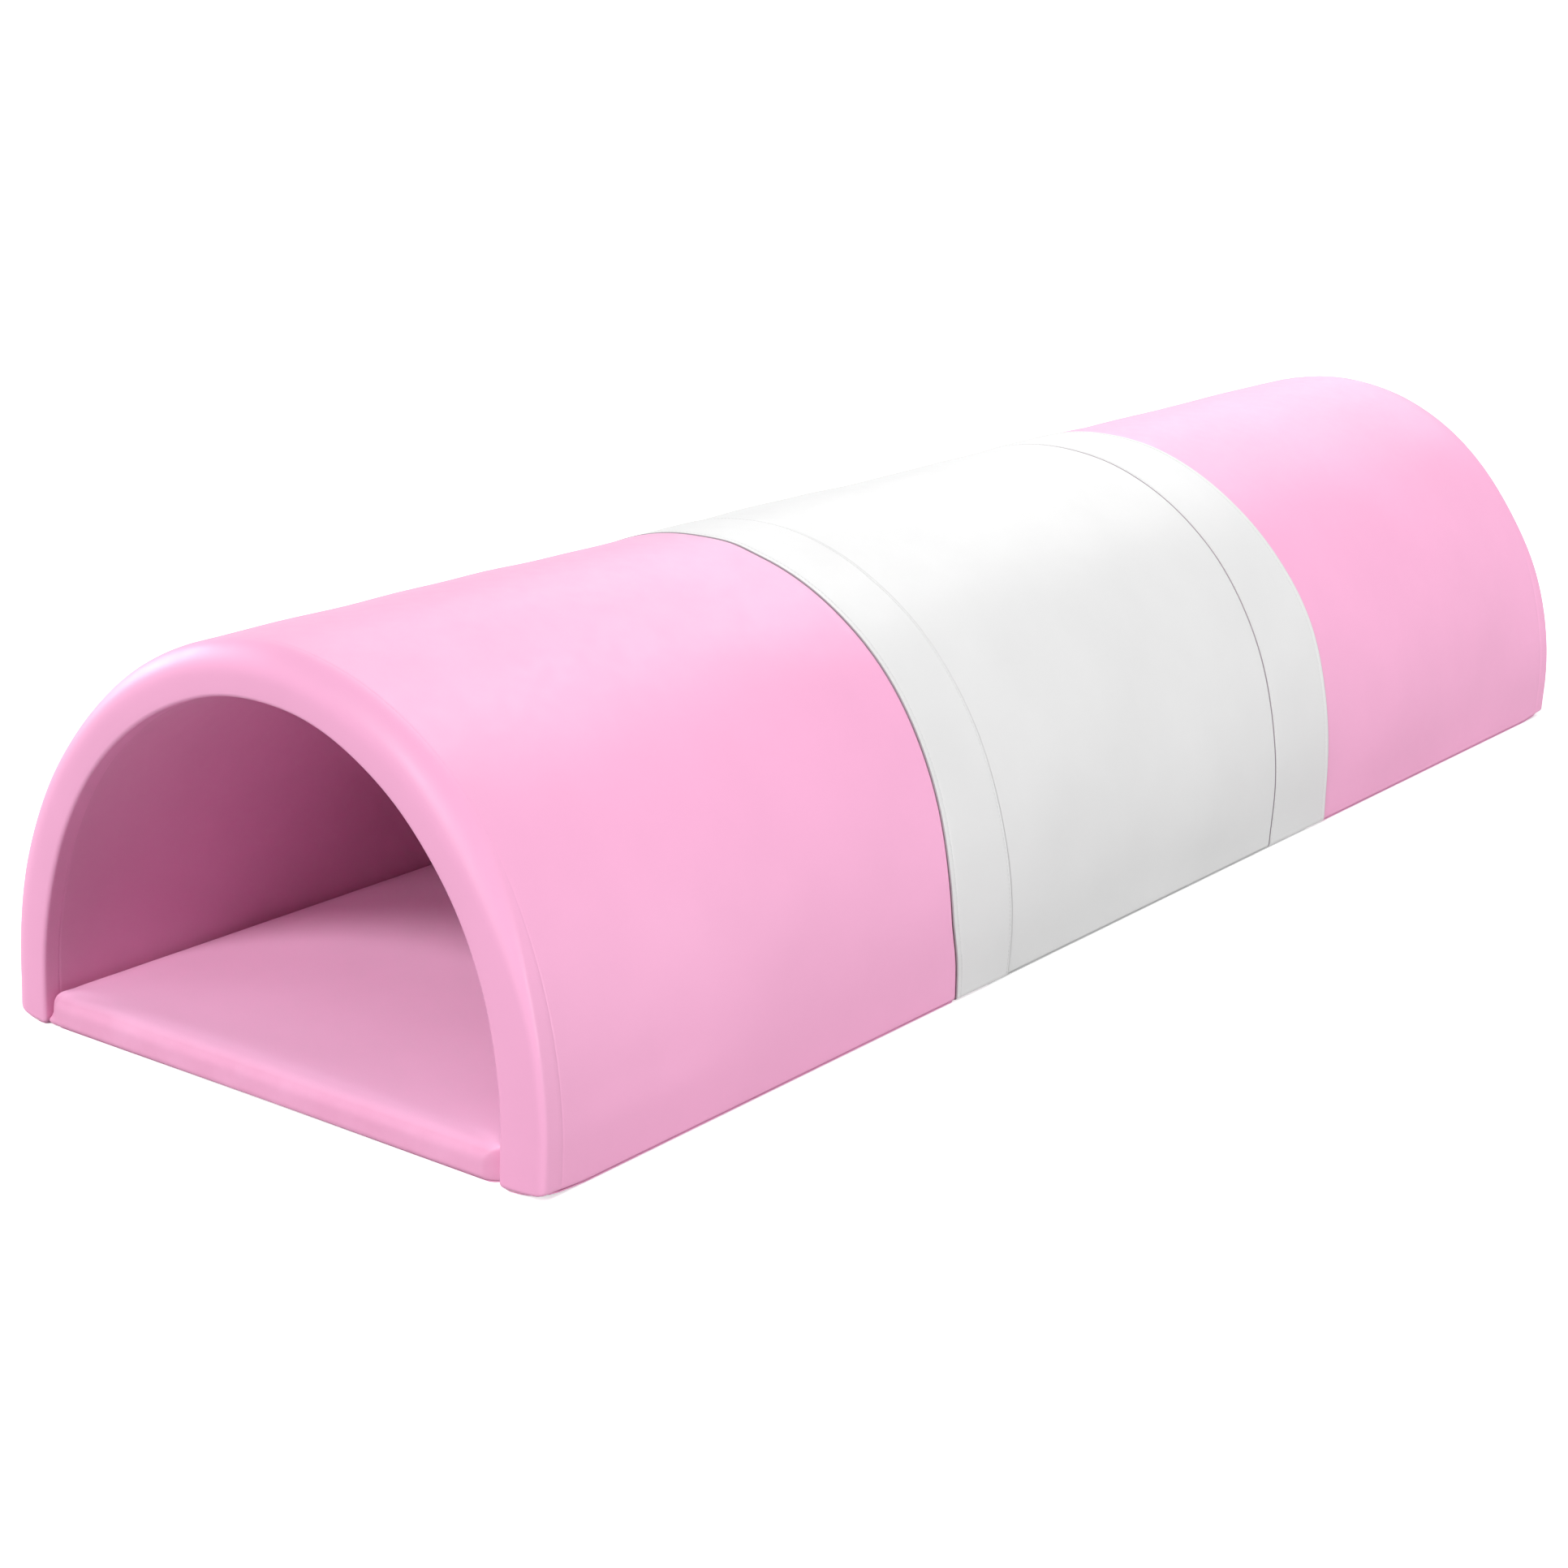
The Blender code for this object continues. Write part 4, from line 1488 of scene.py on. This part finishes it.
def add_stitches(name, wall, thread, along, depth, outward=1.0):
    """A row of stitches from foot to foot, at along places and depths given for even ways."""
    chosen = settings().stitches
    tunnel = wall.tunnel
    count = int((tunnel.total - 2 * tunnel.leg * BARE_LEG) / chosen.pitch)
    start = tunnel.foot + chosen.pitch
    ways = np.linspace(start, tunnel.total - tunnel.foot - chosen.pitch, count)
    given = np.linspace(0.0, tunnel.total, len(along))
    along = np.interp(ways, given, along)[:, None]
    depth = np.interp(ways, given, depth)[:, None]
    centres = wall.place(ways, along, depth, turned_in=0.5)[:, 0]
    _, _, out_across, out_up = tunnel.line(ways)
    zero = np.zeros_like(ways)
    out = np.stack((out_across, zero, out_up), axis=-1) * outward
    forward = np.stack((-out_up, zero, out_across), axis=-1)
    sideways = np.tile((0.0, 1.0, 0.0), (len(ways), 1))
    half = chosen.length / 2
    radius = chosen.thread / 2
    sides = STITCH_SIDES
    points = []
    for share, fat, rise in STITCH_RINGS:
        for index in range(sides):
            angle = 2 * math.pi * index / sides
            lean = forward * (share * half)
            flat = sideways * (radius * fat * math.cos(angle))
            high = out * (radius * (rise + fat * math.sin(angle)))
            points.append(centres + lean + flat + high)
    points = np.stack(points, axis=1)
    per_stitch = len(STITCH_RINGS) * sides
    faces = []
    for stitch in range(len(ways)):
        start = stitch * per_stitch
        for here in range(start, start + per_stitch - sides, sides):
            after = here + sides
            for index in range(sides):
                following = (index + 1) % sides
                faces.append((here + index, here + following, after + following, after + index))
        faces.append(tuple(start + index for index in reversed(range(sides))))
        faces.append(tuple(start + per_stitch - sides + index for index in range(sides)))
    return new_piece(name, points.reshape(-1, 3), faces, thread)


class SewFlaps(bpy.types.Operator):
    """Sew the rows of stitches along both edges of each flap"""

    bl_idname = "play_tunnel.flap_stitches"
    bl_label = "Flap Stitches"

    def execute(self, context):
        tunnel = Tunnel()
        wall = Wall(tunnel)
        ways = np.linspace(0.0, tunnel.total, 400)
        for prefix in ("front", "rear"):
            shape = FlapShape(tunnel, prefix)
            for label, row in zip(("hem", "seam"), shape.rows):
                along, depth = shape.surface(ways, np.array([row]))
                name = f"{prefix}_flap_{label}_stitches"
                piece = add_stitches(name, wall, white_thread(), along[:, 0], depth[:, 0])
                finish_piece(piece, "middle_arch", "white_leatherette")
        return {"FINISHED"}


class DressFoam(bpy.types.Operator):
    """Make the foam cores of the arches, with the groove for each zip"""

    bl_idname = "play_tunnel.foam"
    bl_label = "Foam Cores"

    def execute(self, context):
        tunnel, wall, ways = begin()
        inset = tunnel.cover + tunnel.gap
        for prefix, side in END_ARCHES:
            outline = self.end_outline(tunnel, prefix, inset)
            self.add(wall, ways, prefix, outline, side)
        end = tunnel.middle_reach - inset
        outer = np.linspace(-end, end, 30)
        outline = (
            np.concatenate((outer, outer[::-1])),
            np.concatenate((np.full(30, inset), np.full(30, tunnel.wall - inset))),
        )
        self.add(wall, ways, "middle", outline, 1.0)
        return {"FINISHED"}

    def end_outline(self, tunnel, prefix, inset):
        """The end arch's wall cut along its length, a little inside its covers."""
        radius = tunnel.mouth - tunnel.rim_start
        inner = tunnel.mouth - tunnel.lining_seam - tunnel.gap
        turns = np.linspace(0.0, QUARTER, 9)
        outer_reach = np.linspace(tunnel.end_start + inset, tunnel.rim_start, 28, endpoint=False)
        press = tunnel_press(prefix) * (outer_reach < abs(flap_sizes(prefix)[0]))
        inner_reach = np.linspace(tunnel.mouth - inner, tunnel.end_start + inset, 28)[1:]
        reach = np.concatenate((
            outer_reach,
            tunnel.rim_start + (radius - inset) * np.sin(turns),
            tunnel.mouth - inner + (inner - inset) * np.cos(turns[::2]),
            inner_reach,
        ))
        depth = np.concatenate((
            inset + press,
            radius - (radius - inset) * np.cos(turns),
            tunnel.wall - inner + (inner - inset) * np.sin(turns[::2]),
            np.full(27, tunnel.wall - inset),
        ))
        return reach, depth

    def add(self, wall, ways, prefix, outline, side):
        """A core through all ways, with the groove of its zip."""
        size = (len(ways), len(outline[0]))
        reach, depth = (np.broadcast_to(row, size) for row in outline)
        points = wall.place(ways, reach, depth, side)
        cap = list(range(size[1]))
        piece = sweep(f"{prefix}_arch_foam", points, [cap], foam_material())
        cut_groove(piece, f"{prefix}_zip", wall.tunnel)
        finish_piece(piece, f"{prefix}_arch", "foam", f"{prefix}_foam_core")


def cut_groove(piece, node, tunnel):
    """Takes the room of a zip and its turned-up slot out of the foam above it."""
    low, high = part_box(node)
    space = Vector((tunnel.cover, tunnel.cover, tunnel.gap))
    low = low - space - Vector((0.0, 0.0, tunnel.foot + high.z))
    high = high + space
    shape = bmesh.new()
    bmesh.ops.create_cube(shape, size=1.0)
    bmesh.ops.scale(shape, vec=high - low, verts=shape.verts)
    bmesh.ops.translate(shape, vec=(high + low) / 2, verts=shape.verts)
    mesh = bpy.data.meshes.new("groove")
    shape.to_mesh(mesh)
    shape.free()
    cutter = bpy.data.objects.new("groove", mesh)
    bpy.context.scene.collection.objects.link(cutter)
    cut = piece.modifiers.new("Groove", "BOOLEAN")
    cut.operation = "DIFFERENCE"
    cut.solver = "EXACT"
    cut.object = cutter
    apply_modifiers(piece)
    bpy.data.objects.remove(cutter)


def apply_modifiers(piece):
    """Keeps the mesh as its modifiers leave it, and takes them off."""
    bpy.context.view_layer.update()
    evaluated = piece.evaluated_get(bpy.context.evaluated_depsgraph_get())
    mesh = bpy.data.meshes.new_from_object(evaluated)
    piece.modifiers.clear()
    piece.data = mesh


# The mat


class CushionGrid:
    """A closed pad as two grids of points, the top and the base, with rows of points between."""

    def __init__(self, low, high, chosen):
        self.low = low
        self.high = high
        self.chosen = chosen
        self.half = ((high.x - low.x) / 2, (high.y - low.y) / 2)
        room = high.z - low.z - chosen.crown - chosen.base_radius
        self.radii = (min(chosen.top_radius, room), min(chosen.end_radius, room))

    def lines(self, half, radius):
        """Places across or along: close together where an edge is rounded, even between."""
        turns = np.linspace(0.0, QUARTER, EDGE_STEPS)
        edge = radius * np.concatenate((1.0 - np.cos(turns), EDGE_SHARES))
        count = int(2 * (half - edge[-1]) / self.chosen.spacing)
        between = np.linspace(edge[-1] - half, half - edge[-1], count)
        return np.concatenate((edge[:-1] - half, between, half - edge[:-1][::-1]))

    def build(self, name, material):
        """The pad as a new piece."""
        across = self.lines(self.half[0], self.radii[0])
        along = self.lines(self.half[1], self.radii[1])
        x, y = np.meshgrid(across, along, indexing="ij")
        side = self.half[0] - np.abs(x)
        end = self.half[1] - np.abs(y)
        edge = np.minimum(side, end)
        fall = np.hypot(rolled(side, self.radii[0]), rolled(end, self.radii[1]))
        fall = np.minimum(fall, self.radii[1])
        chosen = self.chosen
        lowered = chosen.crown * (1.0 - np.clip(edge / self.half[0], 0.0, 1.0)) ** 2
        top = self.high.z - lowered - fall
        base = self.low.z + rolled(edge, chosen.base_radius)
        upper = np.stack((*self.round_corners(x, y, chosen.corner_radius), top), axis=-1)
        lower = np.stack((*self.round_corners(x, y, chosen.base_corner_radius), base), axis=-1)
        return self.close(name, upper, lower, material)

    def round_corners(self, x, y, radius):
        """The grid's places, drawn in at the four corners."""
        over_x = np.maximum(np.abs(x) - self.half[0] + radius, 0.0)
        over_y = np.maximum(np.abs(y) - self.half[1] + radius, 0.0)
        size = np.hypot(over_x, over_y)
        both = (over_x > 0) & (over_y > 0)
        shrink = np.where(both, np.maximum(over_x, over_y) / np.maximum(size, 1e-9), 1.0)
        new_x = np.where(both, np.sign(x) * (self.half[0] - radius + over_x * shrink), x)
        new_y = np.where(both, np.sign(y) * (self.half[1] - radius + over_y * shrink), y)
        return new_x, new_y

    def close(self, name, upper, lower, material):
        """Joins the two grids by rows of points down the sides."""
        rows, columns = upper.shape[:2]
        size = rows * columns
        border = [(0, j) for j in range(columns)] + [(i, columns - 1) for i in range(1, rows)]
        border += [(rows - 1, j) for j in range(columns - 2, -1, -1)]
        border += [(i, 0) for i in range(rows - 2, 0, -1)]
        points = [upper.reshape(-1, 3), lower.reshape(-1, 3)]
        index = np.array([i * columns + j for i, j in border])
        levels = [index]
        for down, over in MAT_ROWS:
            start = sum(len(part) for part in points)
            share = np.array((over, over, down))
            ring = upper.reshape(-1, 3)[index] * (1 - share) + lower.reshape(-1, 3)[index] * share
            points.append(ring)
            levels.append(np.arange(start, start + len(index)))
        levels.append(index + size)
        faces = []
        for first in (0, size):
            for i in range(rows - 1):
                for j in range(columns - 1):
                    here = first + i * columns + j
                    faces.append((here, here + 1, here + columns + 1, here + columns))
        for level, following in zip(levels, levels[1:]):
            for step in range(len(index)):
                after = (step + 1) % len(index)
                faces.append((level[step], level[after], following[after], following[step]))
        faces = [tuple(int(corner) for corner in face) for face in faces]
        return new_piece(name, np.concatenate(points), faces, material)


# Bending stiffness of the mat's fabric in the simulation, and its steps in each frame
CLOTH_STIFFNESS = 0.5
CLOTH_STEPS = 5


def fill_with_air(piece, low, high, chosen):
    """Swells the cushion as cloth under pressure, held at its base and by the foam inside."""
    start = np.array([tuple(vert.co) for vert in piece.data.vertices])
    held = piece.vertex_groups.new(name="held")
    base = low.z + chosen.base_radius / 2
    held.add([vert.index for vert in piece.data.vertices if vert.co.z < base], 1.0, "REPLACE")
    cloth = piece.modifiers.new("Air", "CLOTH")
    cloth.settings.use_pressure = True
    cloth.settings.uniform_pressure_force = chosen.pressure
    cloth.settings.vertex_group_mass = held.name
    cloth.settings.effector_weights.gravity = 0.0
    cloth.settings.bending_stiffness = CLOTH_STIFFNESS
    cloth.settings.quality = CLOTH_STEPS
    scene = bpy.context.scene
    for number in range(1, chosen.frames + 1):
        scene.frame_set(number)
    evaluated = piece.evaluated_get(bpy.context.evaluated_depsgraph_get())
    swollen = np.array([tuple(vert.co) for vert in evaluated.data.vertices])
    scene.frame_set(1)
    piece.modifiers.clear()
    move = swollen - start
    size = np.linalg.norm(move, axis=1, keepdims=True)
    move *= chosen.most_swell / (chosen.most_swell + size)
    move[:, :2] *= chosen.side_share
    shaped = start + move
    shaped[:, 0] = np.clip(shaped[:, 0], low.x, high.x)
    shaped[:, 1] = np.clip(shaped[:, 1], low.y, high.y)
    shaped[:, 2] = np.maximum(shaped[:, 2], low.z)
    for vert, point in zip(piece.data.vertices, shaped):
        vert.co = point


def tuck_corner(piece, low, high, width):
    """Draws the front right corner in behind a straight crease, as fabric that is tucked."""
    for vert in piece.data.vertices:
        beyond = (vert.co.x - high.x + width) - (vert.co.y - low.y)
        if vert.co.x > high.x - width and beyond > 0.0:
            vert.co.y += beyond * TUCK_SHARE


class DressMat(bpy.types.Operator):
    """Make the floor mat: a simulated cushion over its foam and its base panel"""

    bl_idname = "play_tunnel.mat"
    bl_label = "Floor Mat"

    def execute(self, context):
        tunnel = Tunnel()
        chosen = context.scene.play_tunnel.mat
        low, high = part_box("mat_top_cover")
        cushion = CushionGrid(low, high, chosen).build("mat_cushion", mat_leatherette())
        fill_with_air(cushion, low, high, chosen)
        tuck_corner(cushion, low, high, chosen.tuck_width)
        finer = cushion.modifiers.new("Smooth", "SUBSURF")
        finer.levels = 1
        finer.render_levels = 1
        apply_modifiers(cushion)
        finish_piece(cushion, "floor_mat", "pink_leatherette", "mat_top_cover")
        foam_low, foam_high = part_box("mat_foam_core")
        inside = CushionGrid(foam_low, foam_high, chosen).build("mat_foam_pad", foam_material())
        cut_groove(inside, "mat_zip", tunnel)
        tuck_corner(inside, low, high, chosen.tuck_width)
        finish_piece(inside, "floor_mat", "foam", "mat_foam_core")
        sole = copy_of_node("mat_sole", "mat_base_panel", mat_leatherette())
        tuck_corner(sole, low, high, chosen.tuck_width)
        add_bevel(sole, tunnel.cover * SOLE_BEVEL)
        finish_piece(sole, "floor_mat", "pink_leatherette", "mat_base_panel")
        return {"FINISHED"}


# Zips


class ZipPlace:
    """Where a packed zip lies."""

    # How near to the tape's edge the points are that tell its heights
    edge_space = 0.0005

    def __init__(self, prefix):
        node = f"{prefix}_zip"
        low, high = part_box(node)
        size = high - low
        self.low = low
        self.across = size.x > size.y
        self.width, self.length = sorted((size.x, size.y))
        self.centre = np.array([(low.x + high.x) / 2, (low.y + high.y) / 2, 0.0])
        slider_low, slider_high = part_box(f"{prefix}_zip_slider")
        self.slider_width = min(slider_high.x - slider_low.x, slider_high.y - slider_low.y)
        axis = 1 if self.across else 0
        points = [vert.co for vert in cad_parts[node].data.vertices]
        near = [point.z for point in points if abs(point[axis] - low[axis]) < self.edge_space]
        self.bottom, self.top = min(near), max(near)

    def bring(self, points):
        """Rows of points made along Y at the origin, brought to the zip's place."""
        if self.across:
            points = np.stack((points[..., 1], -points[..., 0], points[..., 2]), axis=-1)
        return points + self.centre


class DressZips(bpy.types.Operator):
    """Make the zips' woven tapes, coiled teeth and sliders"""

    bl_idname = "play_tunnel.zips"
    bl_label = "Zips"

    # Half of the tape cut across: places over its half width and fatness over its half thickness
    tape_places = (-1.0, -0.985, -0.93, -0.88, -0.80, -0.3, 0.3, 0.80, 0.88, 0.93, 0.985, 1.0)
    tape_fatness = (0.0, 0.8, 1.0, 0.85, 0.6, 0.6, 0.6, 0.6, 0.85, 1.0, 0.8, 0.0)
    tape_rows = 60

    # Half width of the coil in the slider's width, points in each turn and sides of the wire
    coil_share = 0.29
    turn_points = 8
    wire_sides = 6

    slider_bevel = 0.0003

    def execute(self, context):
        chosen = context.scene.play_tunnel.zips
        bodies = {prefix: f"{prefix}_arch" for prefix in ARCHES}
        bodies["mat"] = "floor_mat"
        for prefix, body in bodies.items():
            place = ZipPlace(prefix)
            tape = self.add_tape(prefix, place)
            teeth = self.add_teeth(prefix, place, chosen)
            for piece in (tape, teeth):
                finish_piece(piece, body, "zip_tape", f"{prefix}_zip")
            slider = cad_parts[f"{prefix}_zip_slider"]
            slider.data.materials.clear()
            slider.data.materials.append(metal_material())
            add_bevel(slider, self.slider_bevel)
        return {"FINISHED"}

    def add_tape(self, prefix, place):
        """The woven tape, with a thicker edge on both sides."""
        half = place.width / 2
        middle = (place.bottom + place.top) / 2
        thick = (place.top - place.bottom) / 2
        line = list(zip(self.tape_places, self.tape_fatness))
        upper = [(share * half, middle + thick * part) for share, part in line]
        under = [(share * half, middle - thick * part) for share, part in line][-2:0:-1]
        loop = np.array(upper + under)
        rows = np.linspace(-place.length / 2, place.length / 2, self.tape_rows)
        points = np.stack([
            np.stack((loop[:, 0], np.full(len(loop), row), loop[:, 1]), axis=-1) for row in rows
        ])
        points = place.bring(points)
        count = len(upper)
        total = len(loop)
        caps = [(0, 1, total - 1)]
        caps += [(i, i + 1, total - i - 1, total - i) for i in range(1, count - 2)]
        caps += [(count - 2, count - 1, count)]
        return sweep(f"{prefix}_zip_woven_tape", points, caps, tape_material())

    def add_teeth(self, prefix, place, chosen):
        """The coil, a wire wound along the zip below its tape."""
        half_width = place.slider_width * self.coil_share - chosen.wire / 2
        half_height = (place.bottom - place.low.z) / 2 - chosen.wire / 2
        length = place.length - 2 * place.slider_width
        count = int(length / chosen.pitch) * self.turn_points
        angle = np.arange(count) * 2 * math.pi / self.turn_points
        along = np.linspace(-length / 2, length / 2, count)
        height = (place.bottom + place.low.z) / 2 + half_height * np.sin(angle)
        path = np.stack((half_width * np.cos(angle), along, height), axis=-1)
        slope = np.gradient(path, axis=0)
        slope /= np.linalg.norm(slope, axis=1, keepdims=True)
        side = np.cross(slope, (0.0, 1.0, 0.0))
        side /= np.linalg.norm(side, axis=1, keepdims=True)
        rise = np.cross(side, slope)
        rings = []
        for index in range(self.wire_sides):
            turn = 2 * math.pi * index / self.wire_sides
            rings.append(path + (side * math.cos(turn) + rise * math.sin(turn)) * chosen.wire / 2)
        points = place.bring(np.stack(rings, axis=1))
        cap = list(range(self.wire_sides))
        return sweep(f"{prefix}_zip_teeth", points, [cap], nylon_material())


# Stage


class AddStage(bpy.types.Operator):
    """Make the floor, the light and the camera"""

    bl_idname = "play_tunnel.stage"
    bl_label = "Stage"

    # How far the floor lies below the feet, so that the two don't flicker
    floor_drop = 0.0002

    def execute(self, context):
        chosen = context.scene.play_tunnel.stage
        half = chosen.floor_size / 2
        corners = [(-half, -half, 0.0), (half, -half, 0.0), (half, half, 0.0), (-half, half, 0.0)]
        floor = new_piece("studio_floor", corners, [(0, 1, 2, 3)], floor_material())
        floor.location.z = -self.floor_drop
        world = bpy.data.worlds.new("Studio")
        world.use_nodes = True
        background = world.node_tree.nodes["Background"]
        background.inputs["Color"].default_value = (1.0, 1.0, 1.0, 1.0)
        background.inputs["Strength"].default_value = chosen.sky
        world.cycles_visibility.diffuse = False
        context.scene.world = world
        for name, kind in LIGHTS.items():
            self.add_light(context, name, kind)
        camera = bpy.data.cameras.new("photo_camera")
        camera.sensor_width = SENSOR
        camera.lens = chosen.camera_pixels / PHOTO_PIXELS * SENSOR
        camera.clip_end = chosen.floor_size * 2
        holder = bpy.data.objects.new("photo_camera", camera)
        holder.location = chosen.camera_place
        aim = Euler((QUARTER + chosen.camera_tilt, 0.0, chosen.camera_turn)).to_matrix()
        roll = Matrix.Rotation(chosen.camera_roll, 3, "Z")
        holder.rotation_euler = (aim @ roll).to_euler()
        context.scene.collection.objects.link(holder)
        context.scene.camera = holder
        context.scene.view_settings.view_transform = "Standard"
        return {"FINISHED"}

    def add_light(self, context, name, kind):
        """A wide, far light."""
        chosen = context.scene.play_tunnel.stage
        light = bpy.data.lights.new(name, "SUN")
        light.energy = getattr(chosen, name)
        light.angle = getattr(chosen, f"{kind}_softness")
        holder = bpy.data.objects.new(name, light)
        holder.rotation_euler = getattr(chosen, f"{name}_aim")
        context.scene.collection.objects.link(holder)


PIECE_OPERATORS = (
    AddStage,
    DressOuterCovers,
    DressMouthRims,
    DressInnerLinings,
    DressJointPanels,
    DressFootPanels,
    DressFlaps,
    SewFlaps,
    DressFasteningBands,
    DressFoam,
    DressMat,
    DressZips,
)


class TunnelPanel(bpy.types.Panel):
    """Lists the pieces and their settings in the sidebar."""

    bl_idname = "VIEW3D_PT_play_tunnel"
    bl_label = "Play Tunnel"
    bl_space_type = "VIEW_3D"
    bl_region_type = "UI"
    bl_category = "Play Tunnel"

    def draw(self, context):
        layout = self.layout
        layout.use_property_split = True
        chosen = context.scene.play_tunnel
        for group in TunnelSettings.__annotations__:
            values = getattr(chosen, group)
            box = layout.box()
            box.label(text=group.title())
            for name in values.__annotations__:
                box.prop(values, name)
        for operator in PIECE_OPERATORS:
            layout.operator(operator.bl_idname)


CLASSES = (
    LeatheretteSettings,
    PaddingSettings,
    FlapSettings,
    StitchSettings,
    MatSettings,
    ZipSettings,
    StageSettings,
    TunnelSettings,
    *PIECE_OPERATORS,
    TunnelPanel,
)


def register():
    for item in CLASSES:
        bpy.utils.register_class(item)
    bpy.types.Scene.play_tunnel = PointerProperty(type=TunnelSettings)


def unregister():
    del bpy.types.Scene.play_tunnel
    for item in reversed(CLASSES):
        bpy.utils.unregister_class(item)


def main():
    register()
    for operator in PIECE_OPERATORS:
        area, name = operator.bl_idname.split(".")
        getattr(getattr(bpy.ops, area), name)()


if __name__ == "__main__":
    main()
